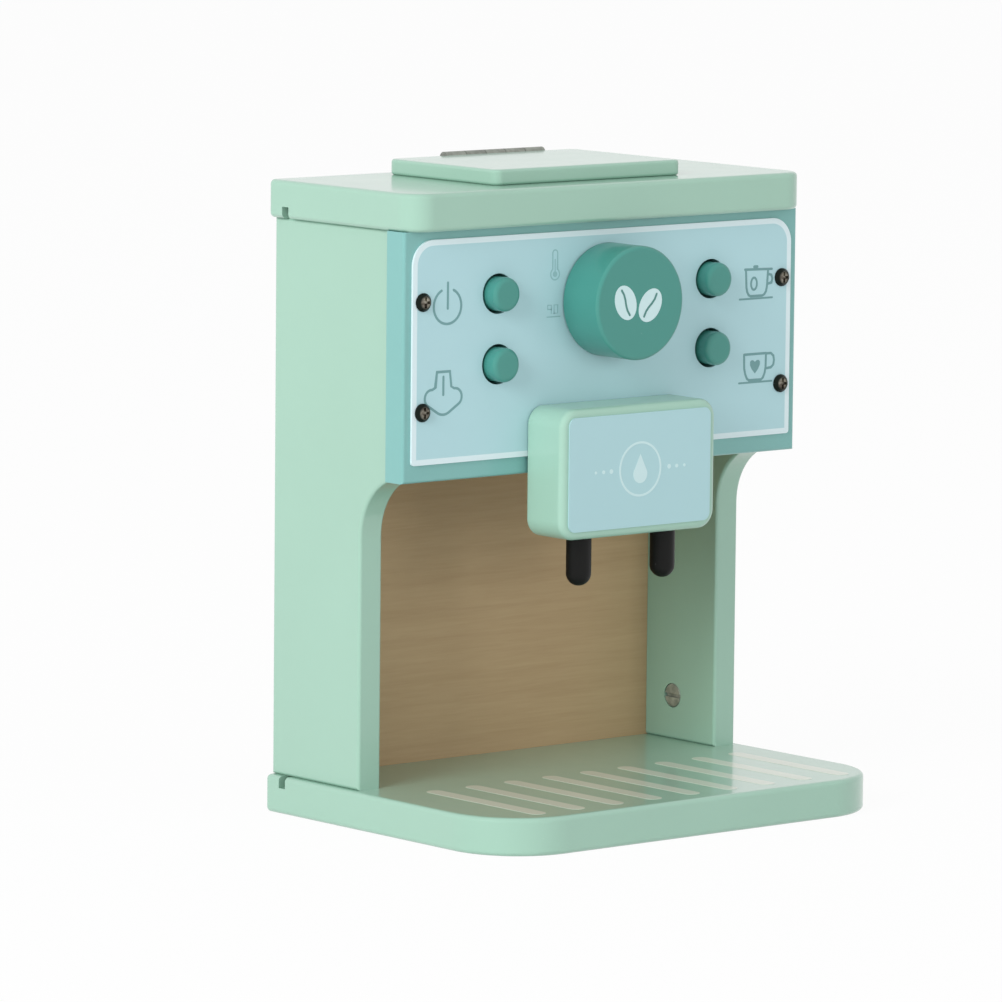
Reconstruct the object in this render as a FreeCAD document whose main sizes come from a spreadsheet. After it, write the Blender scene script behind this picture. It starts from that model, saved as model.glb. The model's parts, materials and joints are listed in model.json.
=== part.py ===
import FreeCAD, Part
import math
import os

import Sketcher

V = FreeCAD.Vector

doc = FreeCAD.newDocument("toy_coffee_maker")
sheet = doc.addObject("Spreadsheet::Sheet", "Sizes")

# Driving dimensions, in millimetres. X runs left to right, the front faces -Y, and Z is up.
SIZES = {
    # Boards of the housing
    "board_width": 163.0,
    "base_depth": 119.0,
    "base_thickness": 12.0,
    "base_corner_radius": 25.0,
    "rear_corner_radius": 2.2,
    "edge_round": 1.5,
    "side_inset": 2.6,
    "side_rear_inset": 0.5,
    "side_thickness": 9.0,
    "side_height": 177.5,
    "side_edge_round": 1.0,
    "upper_depth": 58.6,
    "bay_recess": 14.8,
    "bay_corner_radius": 20.0,
    "top_thickness": 12.0,
    "top_overhang": 4.7,
    "top_corner_radius": 8.0,
    "front_thickness": 9.0,
    "front_height": 78.2,
    "front_edge_round": 1.0,
    "back_thickness": 3.0,
    "back_inset": 6.9,
    "groove_depth": 3.7,
    "groove_clearance": 0.1,
    "ceiling_thickness": 3.0,
    "ceiling_rise": 0.7,
    # Printed control label and its screws
    "label_thickness": 0.8,
    "label_side_margin": 3.1,
    "label_bottom_margin": 5.6,
    "label_top_margin": 2.7,
    "label_top_radius": 8.0,
    "label_bottom_radius": 1.0,
    "screw_low_height": 22.0,
    "screw_high_height": 56.3,
    "screw_diameter": 3.0,
    "screw_head_diameter": 5.8,
    "screw_head_height": 1.4,
    "screw_grip": 12.0,
    "screw_slot_width": 0.9,
    "screw_slot_length": 3.4,
    "screw_slot_depth": 0.8,
    "fit_gap": 0.05,
    "screw_clearance": 0.2,
    # Round dial
    "dial_height": 53.3,
    "dial_diameter": 36.0,
    "dial_depth": 16.6,
    "dial_gap": 0.2,
    "dial_edge_round": 1.2,
    "axle_diameter": 8.0,
    "axle_socket": 11.0,
    "axle_clearance": 0.08,
    "washer_diameter": 14.0,
    "washer_thickness": 1.2,
    # Push buttons
    "button_spread": 88.2,
    "button_low_height": 35.3,
    "button_high_height": 57.4,
    "button_diameter": 10.8,
    "button_clearance": 0.95,
    "button_proud": 4.8,
    "button_edge_round": 1.6,
    "button_flange_diameter": 16.0,
    "button_flange": 1.5,
    "button_stem_diameter": 5.0,
    "button_stem": 4.0,
    "spring_room": 10.5,
    "spring_outer": 8.4,
    "spring_wall": 0.8,
    # Frame that carries the springs behind the front board
    "frame_plate": 3.0,
    "frame_wall": 6.0,
    "frame_reach": 16.0,
    "frame_margin": 9.5,
    # Brew head and spouts
    "brew_width": 64.0,
    "brew_height": 41.3,
    "brew_depth": 17.2,
    "brew_drop": 19.8,
    "brew_corner_radius": 6.0,
    "brew_edge_round": 2.0,
    "brew_label_width": 58.6,
    "brew_label_height": 36.0,
    "brew_label_thickness": 0.4,
    "brew_label_radius": 2.6,
    "brew_screw_spread": 36.0,
    "brew_screw_height": 13.4,
    "brew_screw_grip": 10.0,
    "spout_spread": 34.8,
    "spout_diameter": 8.0,
    "spout_visible": 15.7,
    "spout_socket": 12.0,
    # Lid, its compartment and its hinge
    "lid_width": 77.5,
    "lid_depth": 53.5,
    "lid_thickness": 5.0,
    "lid_rear_margin": 7.0,
    "lid_corner_radius": 3.0,
    "lid_edge_round": 1.0,
    "tray_width": 56.0,
    "tray_opening": 26.0,
    "tray_rear_gap": 1.6,
    "tray_wall": 2.5,
    "tray_depth": 45.0,
    "tray_rim": 5.0,
    "tray_corner_radius": 4.0,
    "hinge_length": 41.0,
    "hinge_offset": 6.5,
    "hinge_diameter": 4.0,
    "hinge_pin_diameter": 2.0,
    "hinge_rise": 4.0,
    "hinge_gap": 0.1,
    "hinge_leaf": 0.8,
    "hinge_foot": 4.4,
    "hinge_clearance": 0.08,
    "hinge_leaf_lift": 0.3,
    "hinge_pin_proud": 0.3,
    "knuckle_gap": 0.1,
    "nail_diameter": 1.1,
    "nail_grip": 7.0,
    "nail_head_height": 0.4,
    "foot_nail_spread": 26.0,
    "foot_nail_head": 2.6,
    "leaf_nail_head": 1.8,
    "leaf_nail_drop": 2.75,
    # Fasteners of the housing
    "bolt_diameter": 4.0,
    "bolt_head_diameter": 8.0,
    "bolt_head_height": 3.0,
    "bolt_head_sink": 4.0,
    "bolt_head_clearance": 0.5,
    "bolt_past_nut": 3.0,
    "nut_height": 14.4,
    "nut_setback": 23.0,
    "nut_diameter": 8.0,
    "nut_length": 7.5,
    "nut_slot_width": 1.2,
    "nut_slot_depth": 1.0,
    "dowel_diameter": 6.0,
    "dowel_in_side": 12.0,
    "dowel_in_top": 8.0,
    "dowel_margin": 12.0,
}

for row, (alias, size) in enumerate(SIZES.items(), start=1):
    sheet.set("A%d" % row, alias.replace("_", " "))
    sheet.set("B%d" % row, str(size))
    sheet.setAlias("B%d" % row, alias)
doc.recompute()


def use(text):
    """Turns plain size names into a formula that reads the sheet."""
    words = []
    word = ""
    for letter in text + " ":
        if letter.isalnum() or letter == "_":
            word += letter
            continue
        if word in SIZES:
            word = "Sizes." + word
        words.append(word)
        words.append(letter)
        word = ""
    return "".join(words).strip()


def value(text):
    """The present value of a formula of sizes."""
    return float(sheet.evalExpression(use(text)))


def paren(text):
    return "(" + text + ")"


# Planes and heights that several pieces share.
BASE_FRONT = "(-base_depth / 2)"
BASE_REAR = "(base_depth / 2)"
SIDE_OUTER = "(board_width / 2 - side_inset)"
SIDE_INNER = "(board_width / 2 - side_inset - side_thickness)"
SIDE_MIDDLE = "(board_width / 2 - side_inset - side_thickness / 2)"
SIDE_REAR = "(base_depth / 2 - side_rear_inset)"
FRONT_BACK = "(base_depth / 2 - side_rear_inset - upper_depth)"
FRONT_FACE = "(base_depth / 2 - side_rear_inset - upper_depth - front_thickness)"
LABEL_FACE = "(" + FRONT_FACE + " - label_thickness)"
BAY_FRONT = "(" + FRONT_BACK + " + bay_recess)"
SIDE_TOP = "(base_thickness + side_height)"
TOP_FACE = "(base_thickness + side_height + top_thickness)"
TOP_FRONT = "(" + FRONT_FACE + " - top_overhang)"
FRONT_BOTTOM = "(base_thickness + side_height - front_height)"
BACK_REAR = "(" + SIDE_REAR + " - back_inset)"
BACK_FACE = "(" + SIDE_REAR + " - back_inset - back_thickness)"
GROOVE_REAR = "(" + BACK_REAR + " + groove_clearance)"
GROOVE_FRONT = "(" + BACK_FACE + " - groove_clearance)"
GROOVE_END = "(" + SIDE_INNER + " + groove_depth)"
DIAL_Z = "(" + FRONT_BOTTOM + " + dial_height)"
BREW_BACK = LABEL_FACE
BREW_FACE = "(" + LABEL_FACE + " - brew_depth)"
BREW_BOTTOM = "(" + FRONT_BOTTOM + " - brew_drop)"
BREW_MIDDLE = "(" + BREW_BOTTOM + " + brew_height / 2)"
SPOUT_Y = "(" + LABEL_FACE + " - brew_depth / 2)"
LID_REAR = "(" + BASE_REAR + " - lid_rear_margin)"
LID_FRONT = "(" + BASE_REAR + " - lid_rear_margin - lid_depth)"
PIN_Y = "(" + LID_REAR + " + hinge_gap + hinge_diameter / 2)"
PIN_Z = "(" + TOP_FACE + " + hinge_rise)"
TRAY_REAR = "(" + BACK_FACE + " - tray_rear_gap - tray_wall)"
TRAY_FRONT = "(" + TRAY_REAR + " - tray_opening)"
FRAME_FRONT = "(" + FRONT_BACK + " + button_flange + spring_room)"
NUT_Y = "(" + SIDE_REAR + " - nut_setback)"
NUT_Z = "(base_thickness + nut_height)"


def set_size(thing, prop, text):
    thing.setExpression(prop, use(text))


def new_body(label, at=None, turned=None):
    """A named sub-part, whose own origin stands at the given place, turned as given."""
    body = doc.addObject("PartDesign::Body", label)
    body.Label = label
    if turned:
        body.Placement = FreeCAD.Placement(V(0, 0, 0), turned)
    if at:
        for axis, text in zip("xyz", at):
            set_size(body, "Placement.Base." + axis, text)
    return body


def plane_of(body, role):
    return next(f for f in body.Origin.OriginFeatures if f.Role == role)


def new_sketch(body, role, name, level=None):
    """A sketch on one of the body's origin planes, moved along the plane's normal to a level."""
    sketch = body.newObject("Sketcher::SketchObject", name)
    sketch.AttachmentSupport = [(plane_of(body, role), "")]
    sketch.MapMode = "FlatFace"
    if level:
        set_size(sketch, "AttachmentOffset.Base.z", level)
    return sketch


def bind(sketch, kind, geometry, point, text):
    size = value(text)
    if point is None:
        index = sketch.addConstraint(Sketcher.Constraint(kind, geometry, size))
    else:
        index = sketch.addConstraint(Sketcher.Constraint(kind, -1, 1, geometry, point, size))
    sketch.setExpression("Constraints[%d]" % index, use(text))


def place_point(sketch, geometry, point, x, y):
    """Holds a drawn point at formulas x and y. A plain 0 lies on the sketch's own axis."""
    for kind, axis, text in (("DistanceX", -2, x), ("DistanceY", -1, y)):
        if text == "0":
            sketch.addConstraint(Sketcher.Constraint("PointOnObject", geometry, point, axis))
        else:
            bind(sketch, kind, geometry, point, text)


def draw_outline(sketch, corners, arcs=None):
    """A closed outline through corners given as formulas. Some of its sides are arcs about a centre."""
    arcs = arcs or {}
    spots = [V(value(x), value(y), 0) for x, y in corners]
    first = sketch.GeometryCount
    count = len(corners)
    for i in range(count):
        start, end = spots[i], spots[(i + 1) % count]
        if i in arcs:
            radius, centre_x, centre_y, bulge = arcs[i]
            centre = V(value(centre_x), value(centre_y), 0)
            turn = math.radians(bulge)
            middle = centre + V(math.cos(turn), math.sin(turn), 0) * value(radius)
            sketch.addGeometry(Part.Arc(start, middle, end), False)
        else:
            sketch.addGeometry(Part.LineSegment(start, end), False)
    for i in range(count):
        here, after = first + i, first + (i + 1) % count
        here_end = near_point(sketch, here, spots[(i + 1) % count])
        after_start = near_point(sketch, after, spots[(i + 1) % count])
        sketch.addConstraint(Sketcher.Constraint("Coincident", here, here_end, after, after_start))
    for i in range(count):
        spot = near_point(sketch, first + i, spots[i])
        place_point(sketch, first + i, spot, corners[i][0], corners[i][1])
    for i, arc in arcs.items():
        bind(sketch, "Radius", first + i, None, arc[0])


def near_point(sketch, geometry, spot):
    """Which end of a drawn side, 1 or 2, lies at the spot."""
    one = sketch.getPoint(geometry, 1)
    two = sketch.getPoint(geometry, 2)
    return 1 if (one - spot).Length <= (two - spot).Length else 2


def draw_box(sketch, x0, y0, x1, y1):
    draw_outline(sketch, [(x0, y0), (x1, y0), (x1, y1), (x0, y1)])


def draw_circle(sketch, x, y, diameter):
    spot = V(value(x), value(y), 0)
    index = sketch.addGeometry(Part.Circle(spot, V(0, 0, 1), value(diameter) / 2), False)
    place_point(sketch, index, 3, x, y)
    bind(sketch, "Radius", index, None, paren(diameter) + " / 2")


def pad(body, sketch, length, reverse=False, middle=False, name="Pad"):
    feature = body.newObject("PartDesign::Pad", name)
    feature.Profile = sketch
    set_size(feature, "Length", length)
    feature.Reversed = reverse
    feature.Midplane = middle
    sketch.Visibility = False
    doc.recompute()
    return feature


def pocket(body, sketch, depth, reverse=False, middle=False, name="Pocket"):
    """Cuts a sketch out of the body, and makes sure that something was cut."""
    before = body.Shape.Volume
    feature = body.newObject("PartDesign::Pocket", name)
    feature.Profile = sketch
    set_size(feature, "Length", depth)
    feature.Reversed = reverse
    feature.Midplane = middle
    doc.recompute()
    if not body.Shape.Volume < before - 1e-6:
        raise RuntimeError("%s: %s cuts nothing" % (body.Label, name))
    return feature


def revolve(body, sketch, axis_role, name="Revolution"):
    feature = body.newObject("PartDesign::Revolution", name)
    feature.Profile = sketch
    feature.ReferenceAxis = (plane_of(body, axis_role), [""])
    feature.Angle = 360.0
    doc.recompute()
    return feature


def round_edges(body, radius, wanted, kind="Fillet", limit=None):
    """Rounds or bevels the edges of the body's last feature that pass a test on their geometry."""
    base = body.Tip
    names = []
    for i, edge in enumerate(base.Shape.Edges):
        if wanted(edge):
            names.append("Edge%d" % (i + 1))
    if not names:
        raise RuntimeError("%s: no edge to round" % body.Label)
    feature = body.newObject("PartDesign::" + kind, kind)
    feature.Base = (base, names)
    text = radius if limit is None else "min(" + radius + "; " + limit + ")"
    set_size(feature, "Radius" if kind == "Fillet" else "Size", text)
    base.Visibility = False
    doc.recompute()
    return feature


def spans(edge):
    box = edge.BoundBox
    return box.XLength, box.YLength, box.ZLength


def upright(edge):
    """An edge that runs along Z."""
    x, y, z = spans(edge)
    return z > 0.01 and x < 1e-4 and y < 1e-4


def along_y(edge):
    x, y, z = spans(edge)
    return y > 0.01 and x < 1e-4 and z < 1e-4


def flat_at(edge, axis, level):
    """An edge that lies wholly in the plane where one coordinate has the given value."""
    box = edge.BoundBox
    low = getattr(box, axis + "Min")
    high = getattr(box, axis + "Max")
    return abs(low - level) < 1e-3 and abs(high - level) < 1e-3


def at_spot(edge, **where):
    """Whether the middle of an edge has the given coordinates."""
    centre = edge.BoundBox.Center
    return all(abs(getattr(centre, axis) - level) < 1e-3 for axis, level in where.items())


# Base plate. A board with two large round corners at the front and a groove for the back panel.
# The groove is cut right through from side to side, so its ends show as small notches.
base = new_body("base_plate")
outline = new_sketch(base, "XY_Plane", "base_outline")
draw_box(outline, "-board_width / 2", BASE_FRONT, "board_width / 2", BASE_REAR)
pad(base, outline, "base_thickness")
round_edges(base, "base_corner_radius",
            lambda e: upright(e) and at_spot(e, y=value(BASE_FRONT)), limit="board_width / 2 - 1")
round_edges(base, "rear_corner_radius", lambda e: upright(e) and at_spot(e, y=value(BASE_REAR)))
round_edges(base, "edge_round",
            lambda e: flat_at(e, "Z", 0) or flat_at(e, "Z", value("base_thickness")),
            limit="base_thickness * 0.45")
groove = new_sketch(base, "YZ_Plane", "base_groove")
draw_box(groove, GROOVE_FRONT, "base_thickness - groove_depth", GROOVE_REAR, "base_thickness + 1")
pocket(base, groove, "board_width + 2", middle=True, name="PanelGroove")
for side, sign in (("left", "-"), ("right", "")):
    shank = new_sketch(base, "XY_Plane", "bolt_hole_" + side, "base_thickness")
    draw_circle(shank, sign + SIDE_MIDDLE, NUT_Y, "bolt_diameter + 2 * screw_clearance")
    pocket(base, shank, "base_thickness + 1", name="BoltHole")
    sink = new_sketch(base, "XY_Plane", "bolt_sink_" + side, "bolt_head_sink")
    draw_circle(sink, sign + SIDE_MIDDLE, NUT_Y, "bolt_head_diameter + 2 * bolt_head_clearance")
    pocket(base, sink, "bolt_head_sink + 1", name="BoltSink")


def side_panel(label, sign):
    """A side board whose front edge steps back below the front board, in one round sweep."""
    body = new_body(label)
    outer = sign + SIDE_OUTER
    profile = new_sketch(body, "YZ_Plane", label + "_profile", outer)
    reach = "(bay_corner_radius - bay_recess)"
    sweep_rise = "sqrt(bay_corner_radius ^ 2 - " + reach + " ^ 2)"
    sweep_centre = "(" + FRONT_BOTTOM + " - " + sweep_rise + ")"
    corners = [
        (SIDE_REAR, "base_thickness"),
        (SIDE_REAR, SIDE_TOP),
        (FRONT_BACK, SIDE_TOP),
        (FRONT_BACK, FRONT_BOTTOM),
        (BAY_FRONT, sweep_centre),
        (BAY_FRONT, "base_thickness"),
    ]
    centre_y = BAY_FRONT + " - bay_corner_radius"
    arc = ("bay_corner_radius", centre_y, sweep_centre, 45)
    draw_outline(profile, corners, {3: arc})
    pad(body, profile, "side_thickness", reverse=(sign == ""))
    far = value(outer)
    near = value(sign + SIDE_INNER)
    round_edges(body, "side_edge_round",
                lambda e: (flat_at(e, "X", far) or flat_at(e, "X", near))
                and not flat_at(e, "Y", value(FRONT_BACK)),
                limit="side_thickness * 0.45")
    slot = new_sketch(body, "XY_Plane", label + "_groove", "base_thickness - 1")
    inner_edge = sign + "(" + SIDE_INNER + " - 1)"
    draw_box(slot, inner_edge, GROOVE_FRONT, sign + GROOVE_END, GROOVE_REAR)
    pocket(body, slot, "side_height + 2", reverse=True, name="PanelGroove")
    # The nut's socket opens in the inner face, and the bolt comes up to it from below.
    socket = new_sketch(body, "YZ_Plane", label + "_nut", sign + SIDE_INNER)
    draw_circle(socket, NUT_Y, NUT_Z, "nut_diameter + 2 * fit_gap")
    pocket(body, socket, "nut_length + fit_gap", reverse=(sign == ""), name="NutSocket")
    bore = new_sketch(body, "XY_Plane", label + "_bolt", "base_thickness")
    draw_circle(bore, sign + SIDE_MIDDLE, NUT_Y, "bolt_diameter + 2 * screw_clearance")
    pocket(body, bore, "nut_height + nut_diameter / 2 + bolt_past_nut", reverse=True, name="BoltBore")
    pins = new_sketch(body, "XY_Plane", label + "_dowels", SIDE_TOP)
    for y in (FRONT_BACK + " + dowel_margin", BACK_FACE + " - dowel_margin"):
        draw_circle(pins, sign + SIDE_MIDDLE, y, "dowel_diameter + 2 * fit_gap")
    pocket(body, pins, "dowel_in_side + fit_gap", name="DowelHoles")
    holes = new_sketch(body, "XZ_Plane", label + "_screws", "-" + FRONT_BACK)
    for height in ("screw_low_height", "screw_high_height"):
        draw_circle(holes, sign + SIDE_MIDDLE, FRONT_BOTTOM + " + " + height,
                    "screw_diameter + 2 * fit_gap")
    pocket(body, holes, "screw_grip + fit_gap", name="ScrewHoles")
    return body


side_panel("left_side_panel", "-")
side_panel("right_side_panel", "")

# Top plate. It overhangs the front board a little, and opens into the compartment under the lid.
top = new_body("top_plate")
outline = new_sketch(top, "XY_Plane", "top_outline", SIDE_TOP)
draw_box(outline, "-board_width / 2", TOP_FRONT, "board_width / 2", BASE_REAR)
pad(top, outline, "top_thickness")
round_edges(top, "top_corner_radius", lambda e: upright(e) and at_spot(e, y=value(TOP_FRONT)))
round_edges(top, "rear_corner_radius", lambda e: upright(e) and at_spot(e, y=value(BASE_REAR)))
round_edges(top, "edge_round",
            lambda e: flat_at(e, "Z", value(SIDE_TOP)) or flat_at(e, "Z", value(TOP_FACE)),
            limit="top_thickness * 0.45")
groove = new_sketch(top, "YZ_Plane", "top_groove")
draw_box(groove, GROOVE_FRONT, SIDE_TOP + " - 1", GROOVE_REAR, SIDE_TOP + " + groove_depth")
pocket(top, groove, "board_width + 2", middle=True, name="PanelGroove")
hatch = new_sketch(top, "XY_Plane", "top_opening", TOP_FACE)
draw_box(hatch, "-tray_width / 2", TRAY_FRONT, "tray_width / 2", TRAY_REAR)
pocket(top, hatch, "top_thickness + 1", name="Opening")
round_edges(top, "tray_corner_radius",
            lambda e: upright(e) and abs(abs(e.BoundBox.Center.x) - value("tray_width / 2")) < 1e-3
            and value(TRAY_FRONT) - 1e-3 < e.BoundBox.Center.y < value(TRAY_REAR) + 1e-3)
pins = new_sketch(top, "XY_Plane", "top_dowels", SIDE_TOP)
for sign in ("-", ""):
    for y in (FRONT_BACK + " + dowel_margin", BACK_FACE + " - dowel_margin"):
        draw_circle(pins, sign + SIDE_MIDDLE, y, "dowel_diameter + 2 * fit_gap")
pocket(top, pins, "dowel_in_top + fit_gap", reverse=True, name="DowelHoles")
FOOT_NAIL_Y = "(" + PIN_Y + " + (hinge_foot + hinge_leaf / 2) / 2)"
anchors = new_sketch(top, "XY_Plane", "top_hinge_holes", TOP_FACE)
for sign in ("-", "+"):
    draw_circle(anchors, "hinge_offset " + sign + " foot_nail_spread / 2", FOOT_NAIL_Y,
                "nail_diameter + 2 * fit_gap")
pocket(top, anchors, "nail_grip + fit_gap", name="HingeHoles")

# Back panel. A thin sheet of plywood that slides into the grooves of the four boards around it.
back = new_body("back_panel")
sheet_outline = new_sketch(back, "XZ_Plane", "back_outline", "-" + BACK_REAR)
HOLD = "(groove_depth - 2 * groove_clearance)"
draw_box(sheet_outline,
         "-" + paren(SIDE_INNER + " + " + HOLD), "base_thickness - " + HOLD,
         SIDE_INNER + " + " + HOLD, SIDE_TOP + " + " + HOLD)
pad(back, sheet_outline, "back_thickness")

# Front board. It carries the label, the dial and the buttons, and stands a little wider than the sides.
front = new_body("front_board")
outline = new_sketch(front, "XZ_Plane", "front_outline", "-" + FRONT_BACK)
draw_box(outline, "-board_width / 2", FRONT_BOTTOM, "board_width / 2", SIDE_TOP)
pad(front, outline, "front_thickness")
round_edges(front, "front_edge_round",
            lambda e: (upright(e) or flat_at(e, "Z", value(FRONT_BOTTOM)))
            and (flat_at(e, "Y", value(FRONT_FACE)) or flat_at(e, "Y", value(FRONT_BACK))),
            limit="front_thickness * 0.45")


BUTTONS = {
    "power_button": ("-", "button_high_height"),
    "steam_button": ("-", "button_low_height"),
    "pot_button": ("", "button_high_height"),
    "cup_button": ("", "button_low_height"),
}


def control_holes(sketch, screw_clearance):
    """The holes that the label and the front board share: four buttons, four screws and the dial."""
    for sign, height in BUTTONS.values():
        draw_circle(sketch, sign + "button_spread / 2", FRONT_BOTTOM + " + " + height,
                    "button_diameter + 2 * button_clearance")
    for sign in ("-", ""):
        for height in ("screw_low_height", "screw_high_height"):
            draw_circle(sketch, sign + SIDE_MIDDLE, FRONT_BOTTOM + " + " + height, screw_clearance)
    draw_circle(sketch, "0", DIAL_Z, "axle_diameter + 2 * axle_clearance")


def brew_screw_holes(sketch, diameter):
    for sign in ("-", ""):
        draw_circle(sketch, sign + "brew_screw_spread / 2", FRONT_BOTTOM + " + brew_screw_height",
                    diameter)


holes = new_sketch(front, "XZ_Plane", "front_holes", "-" + FRONT_BACK)
control_holes(holes, "screw_diameter + 2 * screw_clearance")
brew_screw_holes(holes, "screw_diameter + 2 * screw_clearance")
pocket(front, holes, "front_thickness + 1", reverse=True, name="ControlHoles")
FRAME_HALF = "(button_spread / 2 + frame_reach)"
FRAME_SCREW_X = "(" + FRAME_HALF + " - frame_wall / 2)"
FRAME_LOW = "(" + FRONT_BOTTOM + " + button_low_height - frame_margin)"
FRAME_HIGH = "(" + FRONT_BOTTOM + " + button_high_height + frame_margin)"
FRAME_MIDDLE = "((" + FRAME_LOW + " + " + FRAME_HIGH + ") / 2)"
FRAME_GRIP = "(front_thickness - 3)"
anchors = new_sketch(front, "XZ_Plane", "front_frame_holes", "-" + FRONT_BACK)
for sign in ("-", ""):
    draw_circle(anchors, sign + FRAME_SCREW_X, FRAME_MIDDLE, "screw_diameter + 2 * fit_gap")
pocket(front, anchors, FRAME_GRIP + " + fit_gap", reverse=True, name="FrameHoles")

# Control label. A thin printed plate with round upper corners, held by the same four screws.
label = new_body("control_label")
outline = new_sketch(label, "XZ_Plane", "label_outline", "-" + FRONT_FACE)
draw_box(outline,
         "label_side_margin - board_width / 2", FRONT_BOTTOM + " + label_bottom_margin",
         "board_width / 2 - label_side_margin", SIDE_TOP + " - label_top_margin")
pad(label, outline, "label_thickness")
round_edges(label, "label_top_radius",
            lambda e: along_y(e) and at_spot(e, z=value(SIDE_TOP + " - label_top_margin")))
round_edges(label, "label_bottom_radius",
            lambda e: along_y(e) and at_spot(e, z=value(FRONT_BOTTOM + " + label_bottom_margin")))
holes = new_sketch(label, "XZ_Plane", "label_holes", "-" + FRONT_FACE)
control_holes(holes, "screw_diameter + 2 * screw_clearance")
brew_screw_holes(holes, "screw_diameter + 2 * screw_clearance")
pocket(label, holes, "label_thickness + 1", reverse=True, name="ControlHoles")


def pan_screw(name, at, turned, grip, head="screw_head_diameter", shank="screw_diameter",
              rise="screw_head_height"):
    """A cross-slot screw with a low domed head. Its local +Z points out of the head."""
    body = new_body(name, at, turned)
    profile = new_sketch(body, "XZ_Plane", name + "_profile")
    corners = [
        ("0", "-" + paren(grip)),
        (shank + " / 2 - 0.6", "-" + paren(grip)),
        (shank + " / 2", "1.2 - " + paren(grip)),
        (shank + " / 2", "0"),
        (head + " / 2", "0"),
        (head + " / 2", rise + " * 0.35"),
        (head + " / 2 - " + rise + " * 0.55", rise),
        ("0", rise),
    ]
    draw_outline(profile, corners)
    revolve(body, profile, "Z_Axis")
    cross = new_sketch(body, "XY_Plane", name + "_cross", rise)
    arm = "screw_slot_length / 2"
    wide = "screw_slot_width / 2"
    draw_outline(cross, [
        ("-" + arm, "-" + wide), ("-" + wide, "-" + wide), ("-" + wide, "-" + arm),
        (wide, "-" + arm), (wide, "-" + wide), (arm, "-" + wide),
        (arm, wide), (wide, wide), (wide, arm),
        ("-" + wide, arm), ("-" + wide, wide), ("-" + arm, wide),
    ])
    pocket(body, cross, "screw_slot_depth", name="Cross")
    return body


FACE_FRONT = FreeCAD.Rotation(V(1, 0, 0), 90)
FACE_BACK = FreeCAD.Rotation(V(1, 0, 0), -90)
FACE_DOWN = FreeCAD.Rotation(V(1, 0, 0), 180)
FACE_UP = FreeCAD.Rotation()

for side, sign in (("left", "-"), ("right", "")):
    for level, height in (("lower", "screw_low_height"), ("upper", "screw_high_height")):
        spot = (sign + SIDE_MIDDLE, LABEL_FACE, FRONT_BOTTOM + " + " + height)
        pan_screw("panel_screw_%s_%s" % (level, side), spot, FACE_FRONT,
                  "label_thickness + front_thickness + screw_grip")

# Dial. A round wooden knob glued on a dowel that turns in the front board.
knob = new_body("dial_knob", ("0", LABEL_FACE + " - dial_gap", DIAL_Z), FACE_FRONT)
disc = new_sketch(knob, "XY_Plane", "knob_disc")
draw_circle(disc, "0", "0", "dial_diameter")
pad(knob, disc, "dial_depth")
round_edges(knob, "dial_edge_round", lambda e: flat_at(e, "Z", value("dial_depth")))
round_edges(knob, "dial_edge_round / 2", lambda e: flat_at(e, "Z", 0))
socket = new_sketch(knob, "XY_Plane", "knob_socket")
draw_circle(socket, "0", "0", "axle_diameter + 2 * fit_gap")
pocket(knob, socket, "axle_socket + fit_gap", reverse=True, name="AxleSocket")

AXLE_FRONT = "(" + LABEL_FACE + " - dial_gap - axle_socket)"
AXLE_REAR = "(" + FRONT_BACK + " + dial_gap)"
axle = new_body("dial_axle", ("0", AXLE_REAR, DIAL_Z), FACE_FRONT)
rod = new_sketch(axle, "XY_Plane", "axle_rod")
draw_circle(rod, "0", "0", "axle_diameter")
pad(axle, rod, paren(AXLE_REAR) + " - " + paren(AXLE_FRONT))
hole = new_sketch(axle, "XY_Plane", "axle_screw_hole")
draw_circle(hole, "0", "0", "screw_diameter + 2 * fit_gap")
pocket(axle, hole, "screw_grip + fit_gap", reverse=True, name="ScrewHole")

washer = new_body("dial_washer", ("0", AXLE_REAR, DIAL_Z), FACE_BACK)
ring = new_sketch(washer, "XY_Plane", "washer_ring")
draw_circle(ring, "0", "0", "washer_diameter")
draw_circle(ring, "0", "0", "screw_diameter + 2 * screw_clearance")
pad(washer, ring, "washer_thickness")

pan_screw("dial_screw", ("0", AXLE_REAR + " + washer_thickness", DIAL_Z), FACE_BACK,
          "washer_thickness + screw_grip")

# Push buttons. Each is a round peg with a hidden flange that keeps it in, and a spring behind.
for name, (sign, height) in BUTTONS.items():
    x = sign + "button_spread / 2"
    z = FRONT_BOTTOM + " + " + height
    peg = new_body(name, (x, FRONT_BACK, z), FACE_FRONT)
    profile = new_sketch(peg, "XZ_Plane", name + "_profile")
    reach = "front_thickness + label_thickness + button_proud"
    draw_outline(profile, [
        ("0", "-(button_flange + button_stem)"),
        ("button_stem_diameter / 2", "-(button_flange + button_stem)"),
        ("button_stem_diameter / 2", "-button_flange"),
        ("button_flange_diameter / 2", "-button_flange"),
        ("button_flange_diameter / 2", "0"),
        ("button_diameter / 2", "0"),
        ("button_diameter / 2", reach),
        ("0", reach),
    ])
    revolve(peg, profile, "Z_Axis")
    round_edges(peg, "button_edge_round", lambda e: flat_at(e, "Z", value(reach)))
    spring = new_body(name.replace("button", "spring"), (x, FRONT_BACK + " + button_flange", z),
                      FACE_BACK)
    sleeve = new_sketch(spring, "XY_Plane", name + "_spring")
    draw_circle(sleeve, "0", "0", "spring_outer")
    draw_circle(sleeve, "0", "0", "spring_outer - 2 * spring_wall")
    pad(spring, sleeve, "spring_room")

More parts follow.
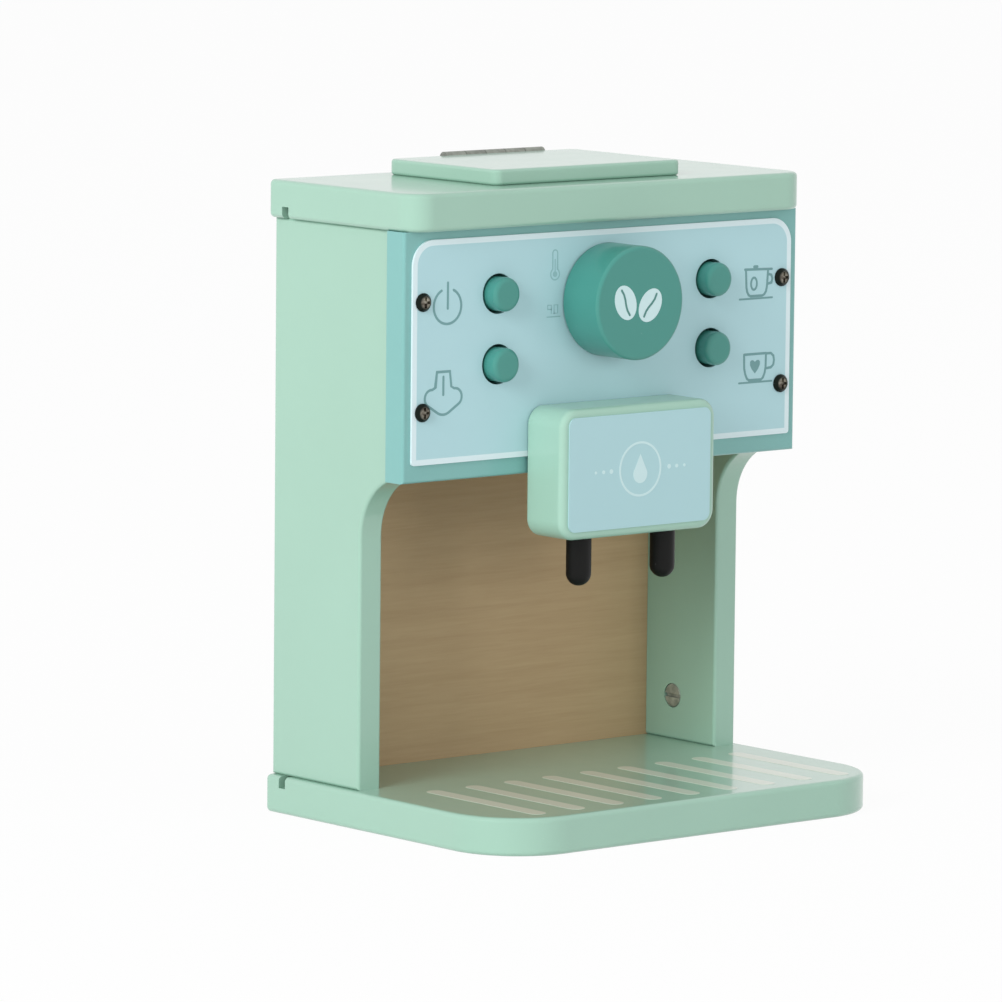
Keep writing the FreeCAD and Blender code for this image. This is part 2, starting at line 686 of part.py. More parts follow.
# Spring frame. A shallow channel behind the front board that the four springs push against.
frame = new_body("spring_frame")
plan = new_sketch(frame, "XY_Plane", "frame_plan", FRAME_LOW)
FRAME_BACK = "(" + FRAME_FRONT + " + frame_plate)"
draw_outline(plan, [
    ("-" + FRAME_HALF, FRONT_BACK),
    ("frame_wall - " + FRAME_HALF, FRONT_BACK),
    ("frame_wall - " + FRAME_HALF, FRAME_FRONT),
    (FRAME_HALF + " - frame_wall", FRAME_FRONT),
    (FRAME_HALF + " - frame_wall", FRONT_BACK),
    (FRAME_HALF, FRONT_BACK),
    (FRAME_HALF, FRAME_BACK),
    ("-" + FRAME_HALF, FRAME_BACK),
])
pad(frame, plan, FRAME_HIGH + " - " + FRAME_LOW)
holes = new_sketch(frame, "XZ_Plane", "frame_holes", "-" + FRAME_BACK)
for sign in ("-", ""):
    draw_circle(holes, sign + FRAME_SCREW_X, FRAME_MIDDLE, "screw_diameter + 2 * screw_clearance")
pocket(frame, holes, "button_flange + spring_room + frame_plate + 1", reverse=True, name="Holes")
for side, sign in (("left", "-"), ("right", "")):
    pan_screw("frame_screw_" + side, (sign + FRAME_SCREW_X, FRAME_BACK, FRAME_MIDDLE), FACE_BACK,
              "button_flange + spring_room + frame_plate + " + FRAME_GRIP)

# Brew head. A thick block with round corners that hangs below the front board and holds the spouts.
brew = new_body("brew_head")
outline = new_sketch(brew, "XZ_Plane", "brew_outline", "-" + BREW_BACK)
draw_box(outline, "-brew_width / 2", BREW_BOTTOM, "brew_width / 2", BREW_BOTTOM + " + brew_height")
pad(brew, outline, "brew_depth")
round_edges(brew, "brew_corner_radius", along_y)
round_edges(brew, "brew_edge_round", lambda e: flat_at(e, "Y", value(BREW_FACE)),
            limit="brew_corner_radius * 0.6")
round_edges(brew, "brew_edge_round / 2", lambda e: flat_at(e, "Y", value(BREW_BACK)),
            limit="brew_corner_radius * 0.6")
sockets = new_sketch(brew, "XY_Plane", "spout_sockets", BREW_BOTTOM)
for sign in ("-", ""):
    draw_circle(sockets, sign + "spout_spread / 2", SPOUT_Y, "spout_diameter + 2 * fit_gap")
pocket(brew, sockets, "spout_socket + fit_gap", reverse=True, name="SpoutSockets")
holes = new_sketch(brew, "XZ_Plane", "brew_screw_holes", "-" + BREW_BACK)
brew_screw_holes(holes, "screw_diameter + 2 * fit_gap")
pocket(brew, holes, "brew_screw_grip + fit_gap", reverse=True, name="ScrewHoles")

plate = new_body("brew_label")
outline = new_sketch(plate, "XZ_Plane", "brew_label_outline", "-" + BREW_FACE)
draw_box(outline,
         "-brew_label_width / 2", BREW_MIDDLE + " - brew_label_height / 2",
         "brew_label_width / 2", BREW_MIDDLE + " + brew_label_height / 2")
pad(plate, outline, "brew_label_thickness")
round_edges(plate, "brew_label_radius", along_y)

for side, sign in (("left", "-"), ("right", "")):
    pan_screw("brew_screw_" + side,
              (sign + "brew_screw_spread / 2", FRONT_BACK, FRONT_BOTTOM + " + brew_screw_height"),
              FACE_BACK, "front_thickness + label_thickness + brew_screw_grip")
    spout = new_body(side + "_spout", (sign + "spout_spread / 2", SPOUT_Y, BREW_BOTTOM))
    profile = new_sketch(spout, "XZ_Plane", side + "_spout_profile")
    tip = "spout_visible - spout_diameter / 2"
    corners = [
        ("0", "-spout_visible"),
        ("spout_diameter / 2", "-" + paren(tip)),
        ("spout_diameter / 2", "spout_socket"),
        ("0", "spout_socket"),
    ]
    draw_outline(profile, corners, {0: ("spout_diameter / 2", "0", "-" + paren(tip), -45)})
    revolve(spout, profile, "Z_Axis")

# Ceiling of the cup bay. It closes the space behind the front board from below.
ceiling = new_body("bay_ceiling")
outline = new_sketch(ceiling, "XY_Plane", "ceiling_outline", FRONT_BOTTOM + " + ceiling_rise")
draw_box(outline, "-" + SIDE_INNER, FRONT_BACK, SIDE_INNER, BACK_FACE)
pad(ceiling, outline, "ceiling_thickness")

# Compartment tray. It hangs under the opening of the top plate by its rim.
tray = new_body("hopper_tray")
shell = new_sketch(tray, "XY_Plane", "tray_shell", SIDE_TOP)
draw_box(shell, "-(tray_width / 2 + tray_wall)", TRAY_FRONT + " - tray_wall",
         "tray_width / 2 + tray_wall", TRAY_REAR + " + tray_wall")
pad(tray, shell, "tray_depth + tray_wall", reverse=True)
round_edges(tray, "tray_corner_radius + tray_wall", upright)
rim = new_sketch(tray, "XY_Plane", "tray_rim", SIDE_TOP)
draw_box(rim, "-(tray_width / 2 + tray_wall + tray_rim)", TRAY_FRONT + " - tray_wall",
         "tray_width / 2 + tray_wall + tray_rim", TRAY_REAR + " + tray_wall")
pad(tray, rim, "tray_wall", reverse=True, name="Rim")
hollow = new_sketch(tray, "XY_Plane", "tray_hollow", SIDE_TOP)
draw_box(hollow, "-tray_width / 2", TRAY_FRONT, "tray_width / 2", TRAY_REAR)
pocket(tray, hollow, "tray_depth", name="Hollow")
round_edges(tray, "tray_corner_radius",
            lambda e: upright(e) and abs(abs(e.BoundBox.Center.x) - value("tray_width / 2")) < 1e-3
            and e.BoundBox.ZLength > value("tray_depth") - 0.01)

# Lid. A flat board with small round corners that lies on the top plate.
lid = new_body("lid")
outline = new_sketch(lid, "XY_Plane", "lid_outline", TOP_FACE)
draw_box(outline, "-lid_width / 2", LID_FRONT, "lid_width / 2", LID_REAR)
pad(lid, outline, "lid_thickness")
round_edges(lid, "lid_corner_radius", upright)
lid_top = TOP_FACE + " + lid_thickness"
round_edges(lid, "lid_edge_round",
            lambda e: flat_at(e, "Z", value(TOP_FACE)) or flat_at(e, "Z", value(lid_top)),
            limit="lid_thickness * 0.45")
KNUCKLE = "(hinge_length / 5)"
LEAF_NAIL_Z = "(" + PIN_Z + " - leaf_nail_drop)"
holes = new_sketch(lid, "XZ_Plane", "lid_nail_holes", "-" + LID_REAR)
for sign in ("-", "+"):
    draw_circle(holes, "hinge_offset " + sign + " " + KNUCKLE, LEAF_NAIL_Z,
                "nail_diameter + 2 * fit_gap")
pocket(lid, holes, "nail_grip - hinge_leaf + fit_gap", reverse=True, name="NailHoles")

# Hinge. Two steel leaves with five knuckles on one pin. Its barrel shows just above the lid.
HINGE_AT = ("hinge_offset", PIN_Y, PIN_Z)


def hinge_leaf(name, outline, cut_knuckles, hole):
    """A leaf with a barrel along its upper edge, cut away where the other leaf's knuckles turn."""
    body = new_body(name, HINGE_AT)
    blade = new_sketch(body, "YZ_Plane", name + "_blade")
    draw_outline(blade, outline)
    pad(body, blade, "hinge_length", middle=True)
    barrel = new_sketch(body, "YZ_Plane", name + "_barrel")
    draw_circle(barrel, "0", "0", "hinge_diameter")
    pad(body, barrel, "hinge_length", middle=True, name="Barrel")
    gaps = new_sketch(body, "XZ_Plane", name + "_gaps")
    for k in cut_knuckles:
        start = "(" + str(k) + " * " + KNUCKLE + " - hinge_length / 2 - knuckle_gap)"
        end = "(" + str(k + 1) + " * " + KNUCKLE + " - hinge_length / 2 + knuckle_gap)"
        draw_box(gaps, start, "-(hinge_diameter / 2 + 3 * knuckle_gap)",
                 end, "hinge_diameter / 2 + 1")
    pocket(body, gaps, "2 * hinge_diameter", middle=True, name="Gaps")
    bore = new_sketch(body, "YZ_Plane", name + "_bore")
    draw_circle(bore, "0", "0", hole)
    pocket(body, bore, "hinge_length + 2", middle=True, name="PinBore")
    return body


half_leaf = "hinge_leaf / 2"
foot = hinge_leaf("hinge_fixed_leaf", [
    ("-" + half_leaf, "-hinge_rise"),
    ("hinge_foot", "-hinge_rise"),
    ("hinge_foot", "hinge_leaf - hinge_rise"),
    (half_leaf, "hinge_leaf - hinge_rise"),
    (half_leaf, "-hinge_diameter / 4"),
    ("-" + half_leaf, "-hinge_diameter / 4"),
], (1, 3), "hinge_pin_diameter + 2 * fit_gap")
holes = new_sketch(foot, "XY_Plane", "foot_nail_holes", "-hinge_rise")
for sign in ("-", ""):
    draw_circle(holes, sign + "foot_nail_spread / 2", "(hinge_foot + hinge_leaf / 2) / 2",
                "nail_diameter + 2 * fit_gap")
pocket(foot, holes, "hinge_leaf + 0.1", reverse=True, name="NailHoles")

LEAF_BACK = "(hinge_diameter / 2 + hinge_gap)"
blade = hinge_leaf("hinge_lid_leaf", [
    ("-" + LEAF_BACK, "hinge_leaf_lift - hinge_rise"),
    ("hinge_leaf - " + LEAF_BACK, "hinge_leaf_lift - hinge_rise"),
    ("hinge_leaf - " + LEAF_BACK, "hinge_diameter / 8"),
    ("-" + LEAF_BACK, "hinge_diameter / 8"),
], (0, 2, 4), "hinge_pin_diameter + 2 * hinge_clearance")
holes = new_sketch(blade, "XZ_Plane", "leaf_nail_holes", LEAF_BACK)
for sign in ("-", ""):
    draw_circle(holes, sign + KNUCKLE, "-leaf_nail_drop", "nail_diameter + 2 * fit_gap")
pocket(blade, holes, "hinge_leaf + 0.1", name="NailHoles")

pin = new_body("hinge_pin", HINGE_AT)
rod = new_sketch(pin, "YZ_Plane", "hinge_pin_rod")
draw_circle(rod, "0", "0", "hinge_pin_diameter")
pad(pin, rod, "hinge_length + 2 * hinge_pin_proud", middle=True)
round_edges(pin, "hinge_pin_diameter / 8", lambda e: True, kind="Chamfer")


def round_nail(name, at, turned, grip, head):
    """A small nail with a flat round head. Its local +Z points out of the head."""
    body = new_body(name, at, turned)
    profile = new_sketch(body, "XZ_Plane", name + "_profile")
    draw_outline(profile, [
        ("0", "-" + paren(grip)),
        ("nail_diameter / 2", "nail_diameter - " + paren(grip)),
        ("nail_diameter / 2", "0"),
        (head + " / 2", "0"),
        (head + " / 2", "nail_head_height * 0.5"),
        (head + " / 2 - nail_head_height * 0.5", "nail_head_height"),
        ("0", "nail_head_height"),
    ])
    revolve(body, profile, "Z_Axis")
    return body


for side, sign in (("left", "-"), ("right", "+")):
    round_nail("foot_nail_" + side,
               ("hinge_offset " + sign + " foot_nail_spread / 2", FOOT_NAIL_Y,
                TOP_FACE + " + hinge_leaf"),
               FACE_UP, "hinge_leaf + nail_grip", "foot_nail_head")
    round_nail("leaf_nail_" + side,
               ("hinge_offset " + sign + " " + KNUCKLE, LID_REAR + " + hinge_leaf", LEAF_NAIL_Z),
               FACE_BACK, "nail_grip", "leaf_nail_head")

# Fasteners of the housing. A bolt comes up through the base into a round nut in each side board.
TOWARDS_RIGHT = FreeCAD.Rotation(V(0, 1, 0), 90)
TOWARDS_LEFT = FreeCAD.Rotation(V(0, 1, 0), -90)
for side, sign, turned in (("left", "-", TOWARDS_RIGHT), ("right", "", TOWARDS_LEFT)):
    bolt = new_body("base_bolt_" + side, (sign + SIDE_MIDDLE, NUT_Y, "bolt_head_sink"), FACE_DOWN)
    profile = new_sketch(bolt, "XZ_Plane", side + "_bolt_profile")
    reach = "(" + NUT_Z + " - bolt_head_sink + bolt_past_nut)"
    draw_outline(profile, [
        ("0", "-" + reach),
        ("bolt_diameter / 2 - 0.6", "-" + reach),
        ("bolt_diameter / 2", "0.8 - " + reach),
        ("bolt_diameter / 2", "0"),
        ("bolt_head_diameter / 2", "0"),
        ("bolt_head_diameter / 2", "bolt_head_height - 0.5"),
        ("bolt_head_diameter / 2 - 0.5", "bolt_head_height"),
        ("0", "bolt_head_height"),
    ])
    revolve(bolt, profile, "Z_Axis")
    hexagon = new_sketch(bolt, "XY_Plane", side + "_bolt_socket", "bolt_head_height")
    wide = "bolt_diameter * 0.375"
    tall = "bolt_diameter * 0.2165"
    peak = "bolt_diameter * 0.433"
    draw_outline(hexagon, [
        (wide, "-" + tall), (wide, tall), ("0", peak),
        ("-" + wide, tall), ("-" + wide, "-" + tall), ("0", "-" + peak),
    ])
    pocket(bolt, hexagon, "bolt_head_height * 0.6", name="Socket")
    nut = new_body("barrel_nut_" + side, (sign + SIDE_INNER, NUT_Y, NUT_Z), turned)
    disc = new_sketch(nut, "XY_Plane", side + "_nut_disc")
    draw_circle(disc, "0", "0", "nut_diameter")
    pad(nut, disc, "nut_length", reverse=True)
    round_edges(nut, "0.4", lambda e: flat_at(e, "Z", 0), kind="Chamfer")
    thread = new_sketch(nut, "YZ_Plane", side + "_nut_thread")
    draw_circle(thread, "0", "-side_thickness / 2", "bolt_diameter + 2 * fit_gap")
    pocket(nut, thread, "nut_diameter + 2", middle=True, name="Thread")
    slot = new_sketch(nut, "XY_Plane", side + "_nut_slot")
    draw_box(slot, "-nut_slot_width / 2", "-(nut_diameter / 2 + 1)",
             "nut_slot_width / 2", "nut_diameter / 2 + 1")
    pocket(nut, slot, "nut_slot_depth", name="Slot")
    for place, y in (("front", FRONT_BACK + " + dowel_margin"),
                     ("rear", BACK_FACE + " - dowel_margin")):
        dowel = new_body("top_dowel_%s_%s" % (place, side), (sign + SIDE_MIDDLE, y, SIDE_TOP))
        rod = new_sketch(dowel, "XY_Plane", "dowel_rod_" + place + side, "-dowel_in_side")
        draw_circle(rod, "0", "0", "dowel_diameter")
        pad(dowel, rod, "dowel_in_side + dowel_in_top")
        round_edges(dowel, "dowel_diameter / 8", lambda e: flat_at(e, "Z", e.BoundBox.ZMax)
                    and e.BoundBox.XLength > 1, kind="Chamfer")

# Every object has to be sound before a file is written.
doc.recompute()
faults = [thing.Label for thing in doc.Objects
          if "Invalid" in thing.State or "Error" in thing.State]
if faults:
    raise RuntimeError("failed objects: " + ", ".join(faults))
bodies = [thing for thing in doc.Objects if thing.TypeId == "PartDesign::Body"]
for body in bodies:
    shape = body.Shape
    if shape.isNull() or not shape.isValid() or len(shape.Solids) != 1:
        raise RuntimeError(body.Label + " is not one sound solid")

os.makedirs("parts", exist_ok=True)
for body in bodies:
    body.Shape.exportStep("parts/" + body.Label + ".step")
    box = body.Shape.BoundBox
    print("%-22s %9.1f mm3  x %.1f..%.1f  y %.1f..%.1f  z %.1f..%.1f" % (
        body.Label, body.Shape.Volume, box.XMin, box.XMax, box.YMin, box.YMax, box.ZMin, box.ZMax))
print(len(bodies), "sub-parts")
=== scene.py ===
# %% [markdown]
# # A wooden toy coffee maker
# The toy is a small housing of painted boards. A printed panel with a round dial and four push
# buttons covers its upper half, a brew head with two black spouts hangs from the panel, and a lid
# on top opens over a small compartment. The boards, knobs and screws come ready from the packed
# construction model. This lesson gives them their finishes and adds what is printed or wound:
# the signs on the panel, the bars on the base board and the coil springs behind the buttons.

# %% Load the construction model
import json
import math

import bpy
from mathutils import Matrix, Vector


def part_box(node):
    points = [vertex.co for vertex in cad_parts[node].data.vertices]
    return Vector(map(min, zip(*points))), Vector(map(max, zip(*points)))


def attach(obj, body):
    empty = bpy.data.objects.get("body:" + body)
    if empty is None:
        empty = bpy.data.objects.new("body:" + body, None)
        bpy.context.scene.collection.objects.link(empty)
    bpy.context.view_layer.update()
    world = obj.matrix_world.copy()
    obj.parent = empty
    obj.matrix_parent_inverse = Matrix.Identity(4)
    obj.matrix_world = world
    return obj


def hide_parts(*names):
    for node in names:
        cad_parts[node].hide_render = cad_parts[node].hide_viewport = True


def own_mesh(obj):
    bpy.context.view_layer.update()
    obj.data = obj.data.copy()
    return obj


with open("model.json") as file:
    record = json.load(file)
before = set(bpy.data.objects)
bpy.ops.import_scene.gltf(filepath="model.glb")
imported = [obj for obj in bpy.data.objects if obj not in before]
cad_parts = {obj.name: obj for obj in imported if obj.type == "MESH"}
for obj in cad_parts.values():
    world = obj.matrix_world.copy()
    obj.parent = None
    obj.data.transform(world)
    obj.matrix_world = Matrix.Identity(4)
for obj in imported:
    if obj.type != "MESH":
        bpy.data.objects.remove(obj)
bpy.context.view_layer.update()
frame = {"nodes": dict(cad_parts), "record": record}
MM = 0.001

# %% [markdown]
# ## The camera
# A small object that is photographed from far away with a long lens keeps its upright edges almost
# parallel. So the camera stands 2.3 m away, to the left of the front, and looks down only a little.
# Its turn is worked out from three angles instead of being dragged by hand, which makes it easy to
# compare the render with the photograph.

# %% Set the camera
YAW, PITCH, ROLL = math.radians(39.91), math.radians(7.14), math.radians(-0.56)
CAMERA_PLACE = Vector((-1.50280, -1.75560, 0.38867))
FOCAL_PIXELS, IMAGE_PIXELS = 7339.54, 1002

ahead = Vector((math.sin(YAW) * math.cos(PITCH), math.cos(YAW) * math.cos(PITCH), -math.sin(PITCH)))
right = Vector((math.cos(YAW), -math.sin(YAW), 0))
down = ahead.cross(right)
right_turned = right * math.cos(ROLL) + down * math.sin(ROLL)
down_turned = down * math.cos(ROLL) - right * math.sin(ROLL)
turn = Matrix((right_turned, -down_turned, -ahead)).transposed()

camera_data = bpy.data.cameras.new("camera")
camera_data.sensor_width = 36.0
camera_data.lens = FOCAL_PIXELS / IMAGE_PIXELS * 36.0
camera_data.clip_end = 100
camera = bpy.data.objects.new("camera", camera_data)
camera.matrix_world = Matrix.Translation(CAMERA_PLACE) @ turn.to_4x4()
bpy.context.collection.objects.link(camera)
bpy.context.scene.camera = camera
bpy.context.scene.view_settings.view_transform = "Standard"
print("lens %.1f mm" % camera_data.lens)

# %% [markdown]
# ## Building materials from nodes
# A procedural material is a small network. Two short helpers keep the rest of the lesson readable:
# one adds a node and sets its sockets, the other makes a node group with named sockets. A group is
# an effect that several finishes share. The shader itself always stays in the material.

# %% Helpers for node networks
def add(tree, kind, values=None, **settings):
    """Adds a node. Values are plain numbers or sockets of other nodes, by socket name or number."""
    node = tree.nodes.new(kind)
    for key, setting in settings.items():
        setattr(node, key, setting)
    for key, item in (values or {}).items():
        if isinstance(item, bpy.types.NodeSocket):
            tree.links.new(item, node.inputs[key])
        else:
            node.inputs[key].default_value = item
    return node


def maths(tree, operation, a, b=0.0):
    """Adds a math node and gives its result. The inputs are numbers or sockets."""
    node = add(tree, "ShaderNodeMath", {0: a, 1: b}, operation=operation)
    return node.outputs[0]


def blend_colours(tree, amount, first, second):
    """Mixes two colours. A mix node has its colour sockets at 6 and 7, and the result at 2."""
    node = add(tree, "ShaderNodeMix", data_type="RGBA")
    for key, item in ((0, amount), (6, first), (7, second)):
        if isinstance(item, bpy.types.NodeSocket):
            tree.links.new(item, node.inputs[key])
        else:
            node.inputs[key].default_value = item
    return node.outputs[2]


def new_group(name, inputs, outputs):
    """Makes a node group. Inputs are (name, socket type, starting value)."""
    tree = bpy.data.node_groups.new(name, "ShaderNodeTree")
    for label, kind, start in inputs:
        socket = tree.interface.new_socket(name=label, in_out="INPUT", socket_type=kind)
        socket.default_value = start
    for label, kind in outputs:
        tree.interface.new_socket(name=label, in_out="OUTPUT", socket_type=kind)
    return tree, tree.nodes.new("NodeGroupInput"), tree.nodes.new("NodeGroupOutput")


FLOAT, COLOUR = "NodeSocketFloat", "NodeSocketColor"


def colour(red, green, blue):
    """A colour picked on screen from 0 to 255, as the linear numbers that a shader needs."""
    return tuple(((c / 255) / 12.92 if c <= 10 else ((c / 255 + 0.055) / 1.055) ** 2.4)
                 for c in (red, green, blue)) + (1.0,)


print("mint as linear numbers:", [round(c, 3) for c in colour(166, 205, 188)])

# %% [markdown]
# ## The skin of brushed or sprayed paint
# Paint on a small board is never perfectly even. It has a faint cloudiness, a very fine orange-peel
# surface, a few tiny specks of dust under the film, and it shines a little more in some spots. The
# group makes all four from noise on Object coordinates, so the scale is in real metres.

# %% Group: paint skin
tree, given, result = new_group(
    "paint skin",
    [("Colour", COLOUR, (0.4, 0.6, 0.5, 1)), ("Cloud", FLOAT, 0.05), ("Roughness", FLOAT, 0.35)],
    [("Colour", COLOUR), ("Roughness", FLOAT), ("Height", FLOAT)])
place = add(tree, "ShaderNodeTexCoord").outputs["Object"]
cloud = add(tree, "ShaderNodeTexNoise", {"Vector": place, "Scale": 28.0, "Detail": 3.0}).outputs[0]
peel = add(tree, "ShaderNodeTexNoise", {"Vector": place, "Scale": 900.0, "Detail": 2.0}).outputs[0]
sweep = add(tree, "ShaderNodeTexNoise", {"Vector": place, "Scale": 90.0, "Detail": 4.0}).outputs[0]
specks = add(tree, "ShaderNodeTexVoronoi", {"Vector": place, "Scale": 260.0}).outputs["Distance"]
speck = add(tree, "ShaderNodeMapRange", {"Value": specks, "From Min": 0.02, "From Max": 0.055,
                                         "To Min": 1.0, "To Max": 0.0}).outputs[0]
shift = maths(tree, "MULTIPLY", maths(tree, "SUBTRACT", cloud, 0.5), given.outputs["Cloud"])
bright = maths(tree, "ADD", shift, 1.0)
tint = add(tree, "ShaderNodeHueSaturation",
           {"Color": given.outputs["Colour"], "Value": bright}).outputs[0]
dusty = blend_colours(tree, maths(tree, "MULTIPLY", speck, 0.10), tint, (0.75, 0.80, 0.76, 1))
rough = maths(tree, "ADD", given.outputs["Roughness"],
              maths(tree, "MULTIPLY", maths(tree, "SUBTRACT", sweep, 0.5), 0.10))
height = maths(tree, "ADD", maths(tree, "MULTIPLY", peel, 0.7), maths(tree, "MULTIPLY", sweep, 0.3))
tree.links.new(dusty, result.inputs["Colour"])
tree.links.new(rough, result.inputs["Roughness"])
tree.links.new(height, result.inputs["Height"])
PAINT_SKIN = tree
print("group:", PAINT_SKIN.name)


# %% Make painted finishes
def new_material(name):
    material = bpy.data.materials.new(name)
    material.use_nodes = True
    tree = material.node_tree
    return material, tree, tree.nodes["Principled BSDF"]


def use_group(tree, group, values):
    node = add(tree, "ShaderNodeGroup", node_tree=group)
    for key, item in values.items():
        if isinstance(item, bpy.types.NodeSocket):
            tree.links.new(item, node.inputs[key])
        else:
            node.inputs[key].default_value = item
    return node


def bump(tree, shader, height, strength, depth):
    node = add(tree, "ShaderNodeBump",
               {"Strength": strength, "Distance": depth, "Height": height})
    tree.links.new(node.outputs[0], shader.inputs["Normal"])
    return node


def painted(name, paint, roughness=0.34, cloud=0.06, coat=0.25, shine=0.5):
    material, tree, shader = new_material(name)
    skin = use_group(tree, PAINT_SKIN, {"Colour": paint, "Cloud": cloud, "Roughness": roughness})
    tree.links.new(skin.outputs["Colour"], shader.inputs["Base Color"])
    tree.links.new(skin.outputs["Roughness"], shader.inputs["Roughness"])
    shader.inputs["Specular IOR Level"].default_value = shine
    shader.inputs["Coat Weight"].default_value = coat
    shader.inputs["Coat Roughness"].default_value = 0.1
    bump(tree, shader, skin.outputs["Height"], 0.10, 0.0002)
    return material


BOARD_PAINT = painted("mint board paint", colour(150, 188, 170), coat=0.7)
FRONT_PAINT = painted("blue-green front paint", colour(118, 173, 169), coat=0.4)
BREW_PAINT = painted("pale green brew head paint", colour(153, 192, 175), coat=0.4)
KNOB_PAINT = painted("deep green knob paint", colour(63, 137, 127), roughness=0.38, coat=0.3,
                     shine=0.4)
SPOUT_PAINT = painted("black spout paint", colour(12, 12, 11), roughness=0.5, cloud=0.15, coat=0.0,
                      shine=0.2)
print("painted finishes:", len([m for m in bpy.data.materials if "paint" in m.name]))

# %% [markdown]
# ## Bare wood
# The back panel and the thin sheets inside are bare plywood. Its face veneer has long, fine grain
# lines, and its colour changes slowly from place to place. Noise that is squeezed along one axis
# gives lines along that axis. The same group also serves the turned dowels and the dial's axle.

# %% Group: wood grain
tree, given, result = new_group(
    "wood grain",
    [("Light", COLOUR, colour(196, 168, 130)), ("Dark", COLOUR, colour(160, 128, 92)),
     ("Along X", FLOAT, 1.0), ("Along Z", FLOAT, 0.08)],
    [("Colour", COLOUR), ("Roughness", FLOAT), ("Height", FLOAT)])
place = add(tree, "ShaderNodeTexCoord").outputs["Object"]
apart = add(tree, "ShaderNodeSeparateXYZ", {0: place})
squeezed = add(tree, "ShaderNodeCombineXYZ",
               {0: maths(tree, "MULTIPLY", apart.outputs[0], given.outputs["Along X"]),
                1: apart.outputs[1],
                2: maths(tree, "MULTIPLY", apart.outputs[2], given.outputs["Along Z"])}).outputs[0]
fibres = add(tree, "ShaderNodeTexNoise", {"Vector": squeezed, "Scale": 1500.0, "Detail": 3.0,
                                          "Distortion": 0.3}).outputs[0]
bands = add(tree, "ShaderNodeTexNoise", {"Vector": squeezed, "Scale": 150.0, "Detail": 4.0,
                                         "Distortion": 1.2}).outputs[0]
drift = add(tree, "ShaderNodeTexNoise", {"Vector": place, "Scale": 14.0, "Detail": 2.0}).outputs[0]
amount = maths(tree, "ADD", maths(tree, "MULTIPLY", bands, 0.55),
               maths(tree, "MULTIPLY", fibres, 0.3))
amount = maths(tree, "ADD", amount,
               maths(tree, "MULTIPLY", maths(tree, "SUBTRACT", drift, 0.5), 0.5))
spread = add(tree, "ShaderNodeMapRange",
             {"Value": amount, "From Min": 0.2, "From Max": 0.65}).outputs[0]
wood = blend_colours(tree, spread, given.outputs["Light"], given.outputs["Dark"])
tree.links.new(wood, result.inputs["Colour"])
tree.links.new(maths(tree, "ADD", maths(tree, "MULTIPLY", fibres, 0.25), 0.48),
               result.inputs["Roughness"])
tree.links.new(fibres, result.inputs["Height"])
WOOD_GRAIN = tree
print("group:", WOOD_GRAIN.name)


# %% Make wooden finishes
def wooden(name, light, dark, along_x, along_z):
    material, tree, shader = new_material(name)
    grain = use_group(tree, WOOD_GRAIN,
                      {"Light": light, "Dark": dark, "Along X": along_x, "Along Z": along_z})
    tree.links.new(grain.outputs["Colour"], shader.inputs["Base Color"])
    tree.links.new(grain.outputs["Roughness"], shader.inputs["Roughness"])
    bump(tree, shader, grain.outputs["Height"], 0.25, 0.0002)
    return material


PLYWOOD = wooden("bare plywood", colour(190, 163, 126), colour(175, 147, 111), 0.05, 1.0)
TRAY_WOOD = wooden("tray plywood", colour(205, 180, 145), colour(176, 146, 110), 1.0, 0.06)
TURNED_WOOD = wooden("turned beech", colour(214, 178, 136), colour(184, 142, 100), 1.0, 0.2)
print("wooden finishes made")

# %% [markdown]
# ## Printed sheets with a pale border
# Each sheet has a paler line that runs just inside its edge, with round corners at the top. The
# distance from a rounded rectangle can be worked out from a point's own place: fold the sheet into
# one quarter, subtract the straight part, and measure the length of what is left. The same group
# then serves the large panel sheet and the small sheet on the brew head.

# %% Group: border line
tree, given, result = new_group(
    "border line",
    [("Half Width", FLOAT, 0.07), ("Half Height", FLOAT, 0.03), ("Middle X", FLOAT, 0.0),
     ("Middle Z", FLOAT, 0.15), ("Top Radius", FLOAT, 0.008), ("Bottom Radius", FLOAT, 0.001),
     ("Line Width", FLOAT, 0.0014)],
    [("Border", FLOAT)])
place = add(tree, "ShaderNodeTexCoord").outputs["Object"]
apart = add(tree, "ShaderNodeSeparateXYZ", {0: place})
across = maths(tree, "ABSOLUTE",
               maths(tree, "SUBTRACT", apart.outputs[0], given.outputs["Middle X"]))
upward = maths(tree, "SUBTRACT", apart.outputs[2], given.outputs["Middle Z"])
is_top = maths(tree, "GREATER_THAN", upward, 0.0)
radius = maths(tree, "ADD",
               maths(tree, "MULTIPLY", is_top, given.outputs["Top Radius"]),
               maths(tree, "MULTIPLY", maths(tree, "SUBTRACT", 1.0, is_top),
                     given.outputs["Bottom Radius"]))
over_x = maths(tree, "ADD", maths(tree, "SUBTRACT", across, given.outputs["Half Width"]), radius)
over_z = maths(tree, "ADD", maths(tree, "SUBTRACT", maths(tree, "ABSOLUTE", upward),
                                  given.outputs["Half Height"]), radius)
outside = maths(tree, "SQRT", maths(
    tree, "ADD",
    maths(tree, "POWER", maths(tree, "MAXIMUM", over_x, 0.0), 2.0),
    maths(tree, "POWER", maths(tree, "MAXIMUM", over_z, 0.0), 2.0)))
inside = maths(tree, "MINIMUM", maths(tree, "MAXIMUM", over_x, over_z), 0.0)
distance = maths(tree, "SUBTRACT", maths(tree, "ADD", outside, inside), radius)
from_edge = maths(tree, "MULTIPLY", distance, -1.0)
border = add(tree, "ShaderNodeMapRange",
             {"Value": from_edge, "From Min": given.outputs["Line Width"],
              "From Max": maths(tree, "ADD", given.outputs["Line Width"], 0.00015),
              "To Min": 1.0, "To Max": 0.0}).outputs[0]
tree.links.new(border, result.inputs["Border"])
BORDER_LINE = tree
print("group:", BORDER_LINE.name)


